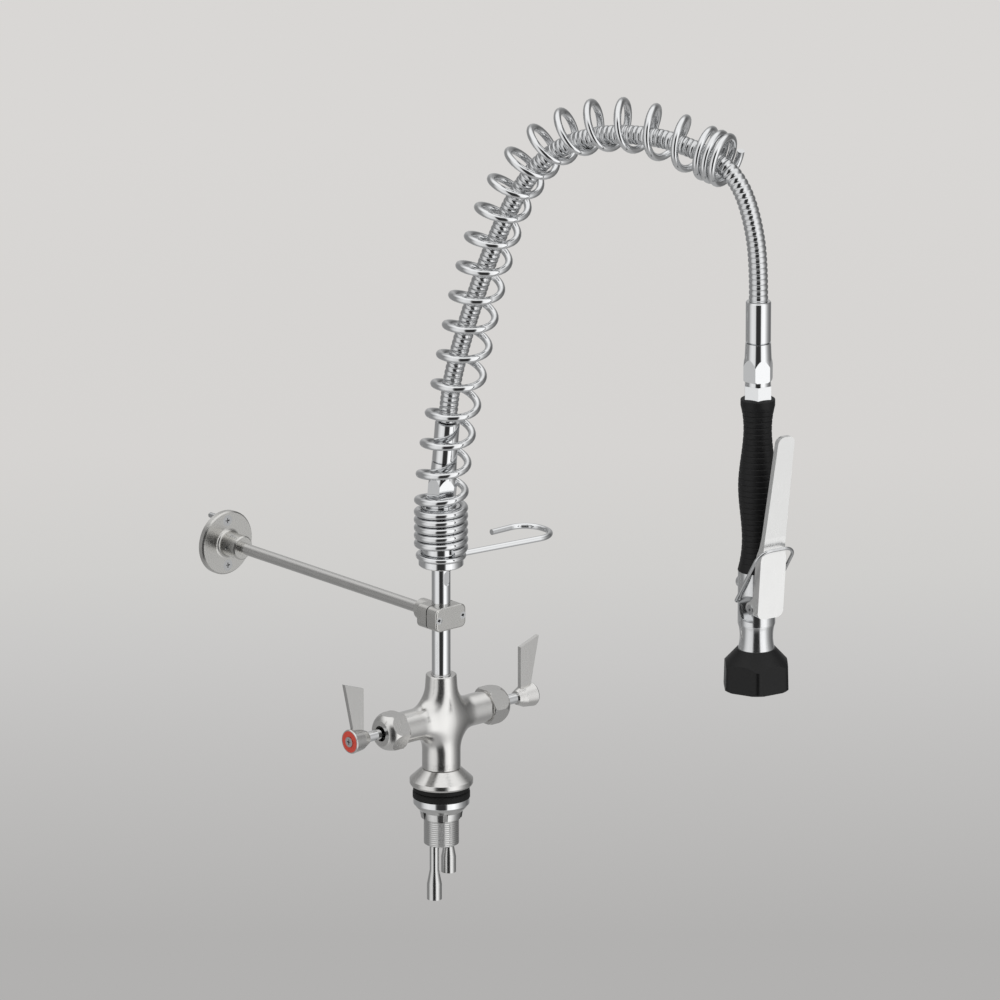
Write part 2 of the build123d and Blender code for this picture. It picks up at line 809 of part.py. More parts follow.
def coil_points():
    """The corners of the spring's wire, in the arch's plane, with the corners outside its circle."""
    turns = closed_turns + ramp_turns + open_turns + end_ramp_turns + end_turns
    corner_radius = spring_radius / math.cos(math.pi / steps_per_turn)
    along = 0
    corners = []
    for step in range(round(turns * steps_per_turn) + 1):
        turn = step / steps_per_turn
        here = middle.position_at(along, position_mode=PositionMode.LENGTH)
        way = middle.tangent_at(along, position_mode=PositionMode.LENGTH)
        angle = math.radians(first_turn_angle) + turn * math.tau
        outward = corner_radius * math.cos(angle)
        sideways = corner_radius * math.sin(angle)
        corners.append((here.X - way.Y * outward, here.Y + way.X * outward, sideways))
        along += coil_pitch(turn + 0.5 / steps_per_turn) / steps_per_turn
    return corners


with BuildPart() as support_spring:
    with BuildLine(arch_plane) as wire_line:
        FilletPolyline(*coil_points(), radius=0.93 * spring_radius)
    with BuildSketch(Plane(wire_line.line @ 0, z_dir=wire_line.line % 0)):
        Circle(spring_wire)
    sweep(path=wire_line.line)
support_spring.part.label = "support_spring"
export_step(support_spring.part, "parts/support_spring.step")

# ---------------------------------------- hose, its fittings and the adapter

lean_angle = math.radians(lean)
lean_direction = arch_direction * math.sin(lean_angle) + Vector(0, 0, math.cos(lean_angle))
adapter_base = Vector(0, 0, sleeve_top)
lower_nut_seat = adapter_base + lean_direction * adapter_neck
upper_nut_seat = Vector(gun_x, gun_y, gun_inlet_height)
nut_bore_depth = nipple_length + fitting_washer + ferrule_flange
tail_start = nipple_length + fitting_washer


def fitting_plane(seat, direction):
    """A plane along a hose fitting: x across it, y along it from the nut's face to the hose."""
    across = side_direction if direction.Z == 1 else arch_plane.z_dir
    return Plane(origin=seat, x_dir=direction.cross(across), z_dir=across)


def turned(seat, direction, *outline):
    """A round piece about a fitting's axis, from (radius, distance along it) points."""
    with BuildPart() as piece:
        with BuildSketch(fitting_plane(seat, direction)):
            with BuildLine():
                Polyline(*outline, close=True)
            make_face()
        revolve(axis=Axis(seat, direction))
    return piece.part


up = Vector(0, 0, 1)
ferrule_start = fitting_nut_length
ferrule_end = fitting_nut_length + ferrule_length
for name, seat, direction in (("lower", lower_nut_seat, lean_direction), ("upper", upper_nut_seat, up)):
    with BuildPart() as hose_nut:
        with BuildSketch(Plane(origin=seat, x_dir=direction.cross(side_direction), z_dir=direction)):
            RegularPolygon(fitting_nut_radius, 6, rotation=fitting_nut_turn)
        extrude(amount=fitting_nut_length)
        add(
            turned(
                seat,
                direction,
                (0, 0),
                (fitting_nut_radius - 0.8, 0),
                (fitting_nut_radius, 1.4),
                (fitting_nut_radius, fitting_nut_hex - 3),
                (fitting_nut_top_radius, fitting_nut_hex + 3),
                (fitting_nut_top_radius - 0.6, fitting_nut_length),
                (0, fitting_nut_length),
            ),
            mode=Mode.INTERSECT,
        )
        with BuildSketch(Plane(origin=seat, z_dir=direction)):
            Circle(nipple_radius)
        extrude(amount=nut_bore_depth, mode=Mode.SUBTRACT)
        with BuildSketch(Plane(origin=seat, z_dir=direction)):
            Circle(ferrule_tail_radius + running_fit)
        extrude(amount=fitting_nut_length, mode=Mode.SUBTRACT)
    hose_nut.part.label = f"{name}_hose_nut"
    export_step(hose_nut.part, f"parts/{name}_hose_nut.step")

    with BuildPart() as hose_washer:
        with BuildSketch(Plane(origin=seat + direction * nipple_length, z_dir=direction)):
            Circle(ferrule_flange_radius)
            Circle(hose_bore, mode=Mode.SUBTRACT)
        extrude(amount=fitting_washer)
    hose_washer.part.label = f"{name}_hose_washer"
    export_step(hose_washer.part, f"parts/{name}_hose_washer.step")

    with BuildPart() as ferrule:
        add(
            turned(
                seat,
                direction,
                (hose_bore, tail_start),
                (ferrule_flange_radius, tail_start),
                (ferrule_flange_radius, nut_bore_depth),
                (ferrule_tail_radius, nut_bore_depth),
                (ferrule_tail_radius, ferrule_start + 0.2),
                (ferrule_radius - 1, ferrule_start + 0.2),
                (ferrule_radius, ferrule_start + 1.5),
                (ferrule_radius, ferrule_end - 1),
                (ferrule_radius - 0.6, ferrule_end),
                (hose_bore, ferrule_end),
            )
        )
    ferrule.part.label = f"{name}_ferrule"
    export_step(ferrule.part, f"parts/{name}_ferrule.step")

spigot_radius = riser_bore - running_fit
ring_radius = riser_bore - 2 * oring_wire
spigot_bottom = riser_top - adapter_spigot_length
ring_heights = [spigot_bottom + 4, spigot_bottom + 9]
with BuildPart() as swivel_adapter:
    with BuildSketch(Plane.XY.offset(riser_top + 0.2)):
        Circle(adapter_neck_radius)
    extrude(amount=sleeve_top - riser_top - 0.2)
    with BuildSketch(Plane(origin=adapter_base, z_dir=lean_direction)):
        Circle(adapter_neck_radius)
    extrude(amount=adapter_neck)
    with BuildSketch(Plane.XY.offset(sleeve_top - 1.5)):
        Circle(adapter_neck_radius)
    extrude(amount=3)
    with BuildSketch(Plane(origin=lower_nut_seat, z_dir=lean_direction)):
        Circle(nipple_radius)
    extrude(amount=nipple_length)
    with BuildSketch(Plane.XY.offset(spigot_bottom)):
        Circle(spigot_radius)
    extrude(amount=adapter_spigot_length + 1)
    with BuildSketch(Plane.XZ):
        with Locations(*[(riser_bore - oring_wire, height) for height in ring_heights]):
            Rectangle(2 * oring_wire, 2 * oring_wire + 0.4)
    revolve(axis=Z_AXIS, mode=Mode.SUBTRACT)
    with BuildSketch(Plane.XY.offset(spigot_bottom)):
        Circle(tail_bore)
    extrude(amount=sleeve_top - spigot_bottom + 1, mode=Mode.SUBTRACT)
    with BuildSketch(Plane(origin=adapter_base, z_dir=lean_direction)):
        Circle(tail_bore)
    extrude(amount=adapter_neck + nipple_length, mode=Mode.SUBTRACT)
swivel_adapter.part.label = "swivel_adapter"
export_step(swivel_adapter.part, "parts/swivel_adapter.step")

with BuildPart() as swivel_o_rings:
    with BuildSketch(Plane.XZ):
        with Locations(*[(riser_bore - oring_wire, height) for height in ring_heights]):
            Circle(oring_wire - running_fit)
    revolve(axis=Z_AXIS)
swivel_o_rings.part.label = "swivel_o_rings"
export_step(swivel_o_rings.part, "parts/swivel_o_rings.step")

# The hose's route in the arch's plane: (distance from the column's axis, height).
hose_in = lower_nut_seat + lean_direction * ferrule_end
hose_lead = hose_in + lean_direction * hose_lead_length
hose_out = gun_inlet_height + ferrule_end
hose_route = [
    (hose_in.dot(arch_direction), hose_in.Z),
    (hose_lead.dot(arch_direction), hose_lead.Z),
    (17.5, 388),
    (30, 428),
    (48, 478),
    (74, 536),
    (107, 575),
    (152, 595.5),
    (205, 600.5),
    (242, 594.5),
    (270, 585.5),
    (287, 569),
    (297.5, 543),
    (gun_reach, 508),
    (gun_reach, hose_out),
]


def bend_radii(route):
    """The largest radius at each corner of a route that leaves a tenth of its shorter run straight."""
    points = [Vector(*point) for point in route]
    radii = []
    for before, corner, after in zip(points, points[1:], points[2:]):
        half_turn = math.radians((corner - before).get_angle(after - corner)) / 2
        shorter = min((corner - before).length, (after - corner).length)
        radii.append(0.45 * shorter / math.tan(half_turn))
    return radii


hose_radii = bend_radii(hose_route)
with BuildPart() as spray_hose:
    with BuildLine(arch_plane) as hose_line:
        FilletPolyline(*hose_route, radius=hose_radii)
    hose_path = hose_line.wire()
    with BuildSketch(Plane(hose_path @ 0, z_dir=hose_path % 0)):
        Circle(hose_radius)
        Circle(hose_bore, mode=Mode.SUBTRACT)
    sweep(path=hose_path)
spray_hose.part.label = "spray_hose"
export_step(spray_hose.part, "parts/spray_hose.step")
hose_section = math.pi * (hose_radius**2 - hose_bore**2)
print("hose radii", [round(radius) for radius in hose_radii])
print("hose length", round(hose_path.length, 1))
print("hose volume over section times length", spray_hose.part.volume / hose_section / hose_path.length)

# ------------------------------------------------------- gun: handle and body

gun_origin = Vector(gun_x, gun_y, 0)
with BuildPart() as gun_inlet:
    add(
        turned(
            gun_origin,
            up,
            (inlet_bore, gun_hex_bottom - inlet_spigot_length),
            (tube_bore, gun_hex_bottom - inlet_spigot_length),
            (tube_bore, gun_hex_bottom),
            (gun_neck_radius, gun_hex_bottom),
            (gun_neck_radius, gun_inlet_height),
            (nipple_radius, gun_inlet_height),
            (nipple_radius, gun_inlet_height + nipple_length),
            (inlet_bore, gun_inlet_height + nipple_length),
        )
    )
    with BuildSketch(gun_level(gun_hex_bottom)):
        RegularPolygon(gun_hex_radius, 6, rotation=gun_hex_turn)
        Circle(tube_bore, mode=Mode.SUBTRACT)
    extrude(amount=gun_inlet_height - gun_neck_length - gun_hex_bottom)
gun_inlet.part.label = "gun_inlet"
export_step(gun_inlet.part, "parts/gun_inlet.step")

with BuildPart() as handle_tube:
    with BuildSketch(gun_level(tube_bottom)):
        Circle(tube_radius)
        Circle(tube_bore, mode=Mode.SUBTRACT)
    extrude(amount=gun_hex_bottom - tube_bottom)
handle_tube.part.label = "handle_tube"
export_step(handle_tube.part, "parts/handle_tube.step")

with BuildPart() as grip_sleeve:
    with BuildSketch(gun_side):
        with BuildLine():
            foot = (grip_bottom_radius, grip_bottom)
            crown = (grip_top_radius, grip_top - grip_collar)
            Spline(
                foot,
                (grip_waist_radius, grip_waist_height),
                (grip_swell_radius, grip_swell_height),
                (grip_neck_radius, grip_neck_height),
                crown,
            )
            Polyline(
                crown,
                (grip_top_radius, grip_top - 1),
                (grip_top_radius - 1, grip_top),
                (tube_radius, grip_top),
                (tube_radius, grip_bottom),
                foot,
            )
        make_face()
    revolve(axis=gun_axis)
grip_sleeve.part.label = "grip_sleeve"
export_step(grip_sleeve.part, "parts/grip_sleeve.step")

with BuildPart() as spray_body:
    with BuildSketch(gun_side):
        with BuildLine():
            neck_top = (body_foot_radius, body_groove_height - 1)
            neck_foot = (body_foot_radius, body_bottom)
            ThreePointArc(neck_top, (body_waist_radius, (body_bottom + body_groove_height) / 2), neck_foot)
            Polyline(
                neck_foot,
                (0, body_bottom),
                (0, grip_bottom),
                (body_radius, grip_bottom),
                (body_radius, body_groove_height),
                (body_foot_radius - 0.5, body_groove_height),
                neck_top,
            )
        make_face()
    revolve(axis=gun_axis)
    with BuildSketch(gun_level(tube_bottom)):
        Circle(tube_radius)
    extrude(amount=grip_bottom - tube_bottom, mode=Mode.SUBTRACT)
    with BuildSketch(gun_level(body_bottom)):
        Circle(water_bore)
    extrude(amount=tube_bottom - body_bottom, mode=Mode.SUBTRACT)
    with BuildSketch(gun_section(-body_radius - 1)):
        Circle(valve_bore)
    extrude(amount=2 * body_radius + 2, mode=Mode.SUBTRACT)
    for side in (-1, 1):
        ear_flat = gun_side.offset(side * flat_half_width)
        with BuildSketch(ear_flat):
            with Locations((pivot_out, pivot_height)):
                Circle(ear_radius + ear_room)
                Rectangle(body_radius, 2 * (ear_radius + ear_room), align=(Align.MIN, Align.CENTER))
        extrude(amount=side * body_radius, mode=Mode.SUBTRACT)
    with BuildSketch(gun_side):
        with Locations((pivot_out, pivot_height)):
            Circle(pin_radius)
        with Locations((bail_out, bail_height)):
            Circle(bail_wire + running_fit)
    extrude(amount=body_radius, both=True, mode=Mode.SUBTRACT)
spray_body.part.label = "spray_body"
export_step(spray_body.part, "parts/spray_body.step")

with BuildPart() as nozzle_cone:
    add(
        turned(
            gun_origin,
            up,
            (water_bore, body_bottom),
            (nozzle_neck_radius, body_bottom),
            (nozzle_radius, nozzle_shoulder),
            (nozzle_radius, nozzle_bottom),
            (nozzle_radius - nozzle_wall, nozzle_bottom),
            (nozzle_radius - nozzle_wall, nozzle_shoulder),
            (nozzle_neck_radius - nozzle_wall, body_bottom - nozzle_wall),
            (water_bore, body_bottom - nozzle_wall),
        )
    )
nozzle_cone.part.label = "nozzle_cone"
export_step(nozzle_cone.part, "parts/nozzle_cone.step")

with BuildPart() as spray_plate:
    with BuildSketch(gun_level(nozzle_bottom)):
        Circle(nozzle_radius - nozzle_wall)
        for ring_radius, holes in ((5, 6), (10, 12), (15, 18)):
            with PolarLocations(ring_radius, holes):
                Circle(spray_hole, mode=Mode.SUBTRACT)
    extrude(amount=plate_thick)
spray_plate.part.label = "spray_plate"
export_step(spray_plate.part, "parts/spray_plate.step")

with BuildPart() as bumper:
    with BuildSketch(gun_level(bumper_bottom)):
        corners = RegularPolygon(bumper_corner_radius, 6, rotation=30)
        fillet(corners.vertices(), bumper_corner_fillet)
    extrude(amount=body_bottom - bumper_bottom, taper=1.5)
    add(
        turned(
            gun_origin,
            up,
            (0, bumper_bottom),
            (bumper_corner_radius - 2.5, bumper_bottom),
            (bumper_corner_radius - 0.5, bumper_bottom + 2),
            (bumper_corner_radius, bumper_cone_foot),
            (bumper_top_radius, body_bottom - 0.5),
            (bumper_top_radius - 0.5, body_bottom),
            (0, body_bottom),
        ),
        mode=Mode.INTERSECT,
    )
    add(
        turned(
            gun_origin,
            up,
            (0, body_bottom),
            (nozzle_neck_radius, body_bottom),
            (nozzle_radius, nozzle_shoulder),
            (nozzle_radius, nozzle_bottom),
            (bumper_mouth, nozzle_bottom),
            (bumper_mouth + 1, bumper_bottom),
            (0, bumper_bottom),
        ),
        mode=Mode.SUBTRACT,
    )
bumper.part.label = "bumper"
export_step(bumper.part, "parts/bumper.step")

# ------------------------------------------ gun: trigger, valve and hold bail

with BuildPart() as pivot_pin:
    with BuildSketch(gun_side):
        with Locations((pivot_out, pivot_height)):
            Circle(pin_radius)
    extrude(amount=flat_half_width, both=True)
    for side in (-1, 1):
        with BuildSketch(gun_side.offset(side * flat_half_width)):
            with Locations((pivot_out, pivot_height)):
                Circle(pin_head_radius)
        extrude(amount=side * (shield_half_width + 0.4 - flat_half_width))
        with BuildSketch(gun_side.offset(side * (shield_half_width + 0.4))):
            with Locations((pivot_out, pivot_height)):
                RegularPolygon(pin_socket_radius, 6)
        extrude(amount=-side * 1.4, mode=Mode.SUBTRACT)
pivot_pin.part.label = "pivot_pin"
export_step(pivot_pin.part, "parts/pivot_pin.step")

shield_front = [(20.5, shield_bottom), (25.5, shield_top), (27.5, lever_knee), (44, lever_top)]


def lever_blank(inset):
    """The trigger's outline from the front, drawn in by a wall on each side, as a thick block."""
    with BuildPart() as blank:
        with BuildSketch(gun_section(0, 0)):
            with BuildLine():
                Polyline(
                    (inset - shield_half_width, shield_bottom - inset),
                    (shield_half_width - inset, shield_bottom - inset),
                    (shield_half_width - inset, shield_top - 5),
                    (handle_half_width - inset, shield_top + 3),
                    (lever_tip_half_width - inset, lever_top - inset),
                    (inset - lever_tip_half_width, lever_top - inset),
                    (inset - handle_half_width, shield_top + 3),
                    (inset - shield_half_width, shield_top - 5),
                    close=True,
                )
            face = make_face()
            fillet(face.vertices().group_by(Axis.Z)[-1], 6 - inset)
        extrude(amount=lever_top, both=True)
    return blank.part


with BuildPart() as lever_hollow:
    with BuildSketch(gun_side):
        Polygon(
            (-10, shield_bottom - 10),
            *[(out - lever_wall, height) for out, height in shield_front],
            (-10, lever_top),
            align=None,
        )
    extrude(amount=shield_half_width, both=True)
    add(lever_blank(lever_wall), mode=Mode.INTERSECT)

with BuildPart() as trigger_lever:
    with BuildSketch(gun_side):
        Polygon(
            *shield_front,
            (39, lever_top),
            (22.5, lever_knee),
            (18, shield_top),
            (13.5, pivot_height + 11),
            (pivot_out, pivot_height + ear_radius),
            (pivot_out, shield_bottom),
            align=None,
        )
        with Locations((pivot_out, pivot_height)):
            Circle(ear_radius)
    extrude(amount=shield_half_width, both=True)
    add(lever_blank(0), mode=Mode.INTERSECT)
    add(lever_hollow.part, mode=Mode.SUBTRACT)
    with BuildSketch(gun_side):
        with Locations((pivot_out, pivot_height)):
            Circle(pin_head_radius + running_fit)
    extrude(amount=shield_half_width, both=True, mode=Mode.SUBTRACT)
trigger_lever.part.label = "trigger_lever"
export_step(trigger_lever.part, "parts/trigger_lever.step")

with BuildPart() as valve_stem:
    with BuildSketch(gun_section(stem_back)):
        Circle(stem_radius)
    extrude(amount=stem_front - stem_back)
    with BuildSketch(gun_section(stem_back)):
        Circle(stem_head_radius)
    extrude(amount=stem_head)
valve_stem.part.label = "valve_stem"
export_step(valve_stem.part, "parts/valve_stem.step")

with BuildPart() as valve_seal:
    with BuildSketch(gun_section(seal_front - seal_thick)):
        Circle(valve_bore)
        Circle(stem_radius + running_fit, mode=Mode.SUBTRACT)
    extrude(amount=seal_thick)
valve_seal.part.label = "valve_seal"
export_step(valve_seal.part, "parts/valve_seal.step")

with BuildPart() as stem_gland:
    with BuildSketch(gun_section(seal_front)):
        Circle(valve_bore)
        Circle(stem_radius + running_fit, mode=Mode.SUBTRACT)
    extrude(amount=gland_front - seal_front)
stem_gland.part.label = "stem_gland"
export_step(stem_gland.part, "parts/stem_gland.step")

with BuildPart() as valve_cap:
    with BuildSketch(gun_section(cap_thread_front)):
        Circle(valve_bore)
    extrude(amount=-body_radius - 0.3 - cap_thread_front)
    with BuildSketch(gun_section(-body_radius - 0.3)):
        Circle(cap_radius)
    extrude(amount=cap_back + body_radius + 0.3)
    chamfer(valve_cap.faces().sort_by(Axis.Y)[-1].edges(), 1)
    with BuildSketch(gun_section(cap_thread_front)):
        Circle(cap_chamber)
    extrude(amount=cap_back + 2 - cap_thread_front, mode=Mode.SUBTRACT)
valve_cap.part.label = "valve_cap"
export_step(valve_cap.part, "parts/valve_cap.step")

spring_back = cap_back + 2 + valve_spring_wire + 0.1
spring_span = stem_back - valve_spring_wire - 0.1 - spring_back
with BuildPart() as valve_spring:
    with BuildLine():
        valve_wire = Helix(
            spring_span / valve_spring_turns,
            spring_span,
            valve_spring_radius,
            center=gun_section(spring_back).origin,
            direction=out_direction,
        )
    with BuildSketch(Plane(valve_wire @ 0, z_dir=valve_wire % 0)):
        Circle(valve_spring_wire)
    sweep(path=valve_wire)
valve_spring.part.label = "valve_spring"
export_step(valve_spring.part, "parts/valve_spring.step")

bail_slope = math.radians(bail_angle)
bail_plane = Plane(
    origin=gun_origin + out_direction * bail_out + up * bail_height,
    x_dir=side_direction,
    z_dir=side_direction.cross(out_direction * math.cos(bail_slope) + up * math.sin(bail_slope)),
)
with BuildPart() as hold_bail:
    with BuildLine(bail_plane) as bail_route:
        FilletPolyline(
            (bail_tip, 0),
            (bail_half_width, 0),
            (bail_half_width, bail_length),
            (-bail_half_width, bail_length),
            (-bail_half_width, 0),
            (-bail_tip, 0),
            radius=[bail_wire + 0.1, bail_bend, bail_bend, bail_wire + 0.1],
        )
    bail_path = bail_route.wire()
    with BuildSketch(Plane(bail_path @ 0, z_dir=bail_path % 0)):
        Circle(bail_wire)
    sweep(path=bail_path)
hold_bail.part.label = "hold_bail"
export_step(hold_bail.part, "parts/hold_bail.step")
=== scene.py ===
"""Looks of a deck-mounted pre rinse faucet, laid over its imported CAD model."""

import math

import bmesh
import bpy
import numpy as np
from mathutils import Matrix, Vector


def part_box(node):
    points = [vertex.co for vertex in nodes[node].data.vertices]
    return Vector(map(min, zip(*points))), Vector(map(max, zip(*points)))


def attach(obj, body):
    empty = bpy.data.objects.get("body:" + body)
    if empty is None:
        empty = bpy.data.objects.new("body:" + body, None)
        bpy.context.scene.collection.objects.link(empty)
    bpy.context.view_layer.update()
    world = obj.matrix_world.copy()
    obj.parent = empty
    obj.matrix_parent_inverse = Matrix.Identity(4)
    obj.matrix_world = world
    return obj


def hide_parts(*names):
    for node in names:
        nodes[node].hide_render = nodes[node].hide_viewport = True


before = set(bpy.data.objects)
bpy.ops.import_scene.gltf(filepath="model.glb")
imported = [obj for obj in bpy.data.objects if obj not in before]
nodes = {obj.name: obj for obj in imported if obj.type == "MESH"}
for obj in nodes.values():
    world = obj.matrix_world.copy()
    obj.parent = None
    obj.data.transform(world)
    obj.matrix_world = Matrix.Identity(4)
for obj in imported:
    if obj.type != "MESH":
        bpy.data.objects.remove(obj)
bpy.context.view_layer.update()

# ---------------------------------------------------------------- camera
# A long lens looks down a little on the faucet, from the front and to the hot side.
# At that distance the coils of the spring keep their shape from foot to tip.

camera_turn = math.radians(41.3)
camera_dip = math.radians(16.6)
camera_distance = 10.17
view_width = 0.8475
upright = Vector((0, 0, 1))
away = Vector((math.sin(camera_turn), math.cos(camera_turn), 0))
to_right = Vector((math.cos(camera_turn), -math.sin(camera_turn), 0))
look = away * math.cos(camera_dip) - upright * math.sin(camera_dip)
view_up = away * math.sin(camera_dip) + upright * math.cos(camera_dip)
view_centre = Vector((0, 0, 0.0055)) + to_right * 0.0497 + view_up * 0.2402
lens = bpy.data.cameras.new("camera")
lens.sensor_width = 36
lens.lens = lens.sensor_width * camera_distance / view_width
lens.clip_end = 200
camera = bpy.data.objects.new("camera", lens)
camera.location = view_centre - look * camera_distance
camera.rotation_euler = look.to_track_quat("-Z", "Y").to_euler()
bpy.context.scene.collection.objects.link(camera)
bpy.context.scene.camera = camera
bpy.context.scene.view_settings.view_transform = "Standard"

# ----------------------------------------------------------------- spray hose
# The hose is a rubber tube in an armour of interlocked stainless strip, about 0.56 m long.
# It is crimped into a ferrule at each end and carried over the arch by the spring.


def linear(colour):
    """An sRGB hex colour as Blender's linear red, green, blue and alpha."""
    levels = [int(colour[place : place + 2], 16) / 255 for place in (1, 3, 5)]
    return [level / 12.92 if level <= 0.04045 else ((level + 0.055) / 1.055) ** 2.4 for level in levels] + [1]


def add(tree, kind, sockets=None, **settings):
    """Adds a node; settings are its properties, sockets are its inputs' values or the outputs they take."""
    made = tree.nodes.new(kind)
    for name, value in settings.items():
        setattr(made, name, value)
    for socket, value in (sockets or {}).items():
        if isinstance(value, bpy.types.NodeSocket):
            tree.links.new(value, made.inputs[socket])
        else:
            made.inputs[socket].default_value = value
    return made


def finish(name, colour, metallic, roughness):
    """A new material on one surface shader; its own patterns are added where it is made."""
    made = bpy.data.materials.new(name)
    made.use_nodes = True
    made.diffuse_color = linear(colour)
    surface = made.node_tree.nodes["Principled BSDF"]
    surface.inputs["Base Color"].default_value = linear(colour)
    surface.inputs["Metallic"].default_value = metallic
    surface.inputs["Roughness"].default_value = roughness
    return made, made.node_tree, surface


def polish(name, colour, low, high, grain):
    """Plated or polished metal: a mirror whose buffing varies over some millimetres."""
    made, tree, surface = finish(name, colour, 1.0, low)
    place = add(tree, "ShaderNodeTexCoord")
    cloud = add(
        tree,
        "ShaderNodeTexNoise",
        {"Vector": place.outputs["Object"], "Scale": 1 / grain, "Detail": 3.0},
    )
    wear = add(
        tree,
        "ShaderNodeMapRange",
        {"Value": cloud.outputs["Fac"], "From Min": 0.35, "From Max": 0.7, "To Min": low, "To Max": high},
    )
    tree.links.new(wear.outputs["Result"], surface.inputs["Roughness"])
    dimple = add(
        tree,
        "ShaderNodeBump",
        {"Height": cloud.outputs["Fac"], "Strength": 0.04, "Distance": 0.0004},
    )
    tree.links.new(dimple.outputs["Normal"], surface.inputs["Normal"])
    return made


def dress(material, *names):
    """Gives carried-over CAD pieces their material."""
    for name in names:
        nodes[name].data.materials[0] = material


# Stainless strip, cold rolled bright: a mirror, greyer where the folds shade each other.
armour = polish("stainless_armour", "#d2d3d4", 0.10, 0.18, 0.006)

swing = math.radians(18.5)
arch_way = Vector((math.sin(swing), -math.cos(swing), 0))
arch_side = arch_way.cross(upright)
gun_reach = 0.304
hose_radius = 0.008
hose_route = [
    (0.0065, 0.3258),
    (0.0089, 0.3537),
    (0.0175, 0.388),
    (0.030, 0.428),
    (0.048, 0.478),
    (0.074, 0.536),
    (0.107, 0.575),
    (0.152, 0.5955),
    (0.205, 0.6005),
    (0.242, 0.5945),
    (0.270, 0.5855),
    (0.287, 0.569),
    (0.2975, 0.543),
    (gun_reach, 0.508),
    (gun_reach, 0.4728),
]


def curve_object(name, kind, places):
    """A bare curve of one open spline through or along some places."""
    curve = bpy.data.curves.new(name, "CURVE")
    curve.dimensions = "3D"
    curve.resolution_u = 24
    spline = curve.splines.new(kind)
    if kind == "BEZIER":
        spline.bezier_points.add(len(places) - 1)
    else:
        spline.points.add(len(places) - 1)
        for point, at in zip(spline.points, places):
            point.co = (*at, 1)
        spline.order_u = 3
        spline.use_endpoint_u = True
    made = bpy.data.objects.new(name, curve)
    bpy.context.scene.collection.objects.link(made)
    return made, spline


def new_tree(name, **sizes):
    """A geometry tree with named sizes as inputs; returns the tree and its input node's outputs."""
    tree = bpy.data.node_groups.new(name, "GeometryNodeTree")
    tree.interface.new_socket("Geometry", in_out="INPUT", socket_type="NodeSocketGeometry")
    tree.interface.new_socket("Geometry", in_out="OUTPUT", socket_type="NodeSocketGeometry")
    for size, value in sizes.items():
        kind = "NodeSocketInt" if isinstance(value, int) else "NodeSocketFloat"
        socket = tree.interface.new_socket(size, in_out="INPUT", socket_type=kind)
        socket.default_value = value
    return tree, add(tree, "NodeGroupInput").outputs


def plain_mesh(name, source, tree, material, geometry, **sizes):
    """Ends a tree in real geometry with its material, runs it on an object and keeps the mesh."""
    real = add(tree, "GeometryNodeRealizeInstances", {"Geometry": geometry})
    painted = add(tree, "GeometryNodeSetMaterial", {"Geometry": real.outputs[0], "Material": material})
    add(tree, "NodeGroupOutput", {"Geometry": painted.outputs[0]})
    modifier = source.modifiers.new("build", "NODES")
    modifier.node_group = tree
    for item in tree.interface.items_tree:
        if item.in_out == "INPUT" and item.name in sizes:
            modifier[item.identifier] = sizes[item.name]
    evaluated = source.evaluated_get(bpy.context.evaluated_depsgraph_get())
    mesh = bpy.data.meshes.new_from_object(evaluated)
    mesh.name = name
    bpy.data.objects.remove(source)
    made = bpy.data.objects.new(name, mesh)
    bpy.context.scene.collection.objects.link(made)
    return made


hose_places = [arch_way * reach + upright * height for reach, height in hose_route]
hose_curve, _ = curve_object("hose_route", "NURBS", hose_places)
hose_curve.data.resolution_u = 12
bare_line = bpy.data.meshes.new_from_object(hose_curve)

ribs, size = new_tree(
    "armour_ribs",
    rib_pitch=0.0046,
    rib_depth=0.0009,
    radius=hose_radius,
    steps_per_rib=8.0,
)
step = add(ribs, "ShaderNodeMath", {0: size["rib_pitch"], 1: size["steps_per_rib"]}, operation="DIVIDE")
stations = add(
    ribs,
    "GeometryNodeResampleCurve",
    {"Curve": size["Geometry"], "Length": step.outputs[0]},
    mode="LENGTH",
)
along = add(ribs, "GeometryNodeSplineParameter")
marked = add(ribs, "GeometryNodeCaptureAttribute", {"Geometry": stations.outputs[0]}, domain="POINT")
marked.capture_items.new("FLOAT", "along")
ribs.links.new(along.outputs["Length"], marked.inputs[1])
ring = add(ribs, "GeometryNodeCurvePrimitiveCircle", {"Resolution": 32, "Radius": size["radius"]})
tube = add(
    ribs,
    "GeometryNodeCurveToMesh",
    {"Curve": marked.outputs[0], "Profile Curve": ring.outputs[0], "Fill Caps": True},
)
count = add(ribs, "ShaderNodeMath", {0: marked.outputs[1], 1: size["rib_pitch"]}, operation="DIVIDE")
part = add(ribs, "ShaderNodeMath", {0: count.outputs[0]}, operation="FRACT")
from_middle = add(ribs, "ShaderNodeMath", {0: part.outputs[0], 1: 0.5}, operation="SUBTRACT")
to_edge = add(ribs, "ShaderNodeMath", {0: from_middle.outputs[0]}, operation="ABSOLUTE")
twice = add(ribs, "ShaderNodeMath", {0: to_edge.outputs[0], 1: 2.0}, operation="MULTIPLY")
fold = add(ribs, "ShaderNodeMath", {0: twice.outputs[0], 1: 3.0}, operation="POWER")
sink = add(ribs, "ShaderNodeMath", {0: fold.outputs[0], 1: size["rib_depth"]}, operation="MULTIPLY")
inward = add(ribs, "ShaderNodeMath", {0: sink.outputs[0], 1: -1.0}, operation="MULTIPLY")
outwards = add(ribs, "GeometryNodeInputNormal")
shift = add(
    ribs,
    "ShaderNodeVectorMath",
    {0: outwards.outputs[0], "Scale": inward.outputs[0]},
    operation="SCALE",
)
folded = add(
    ribs,
    "GeometryNodeSetPosition",
    {"Geometry": tube.outputs[0], "Offset": shift.outputs[0]},
)
soft = add(ribs, "GeometryNodeSetShadeSmooth", {"Geometry": folded.outputs[0]})
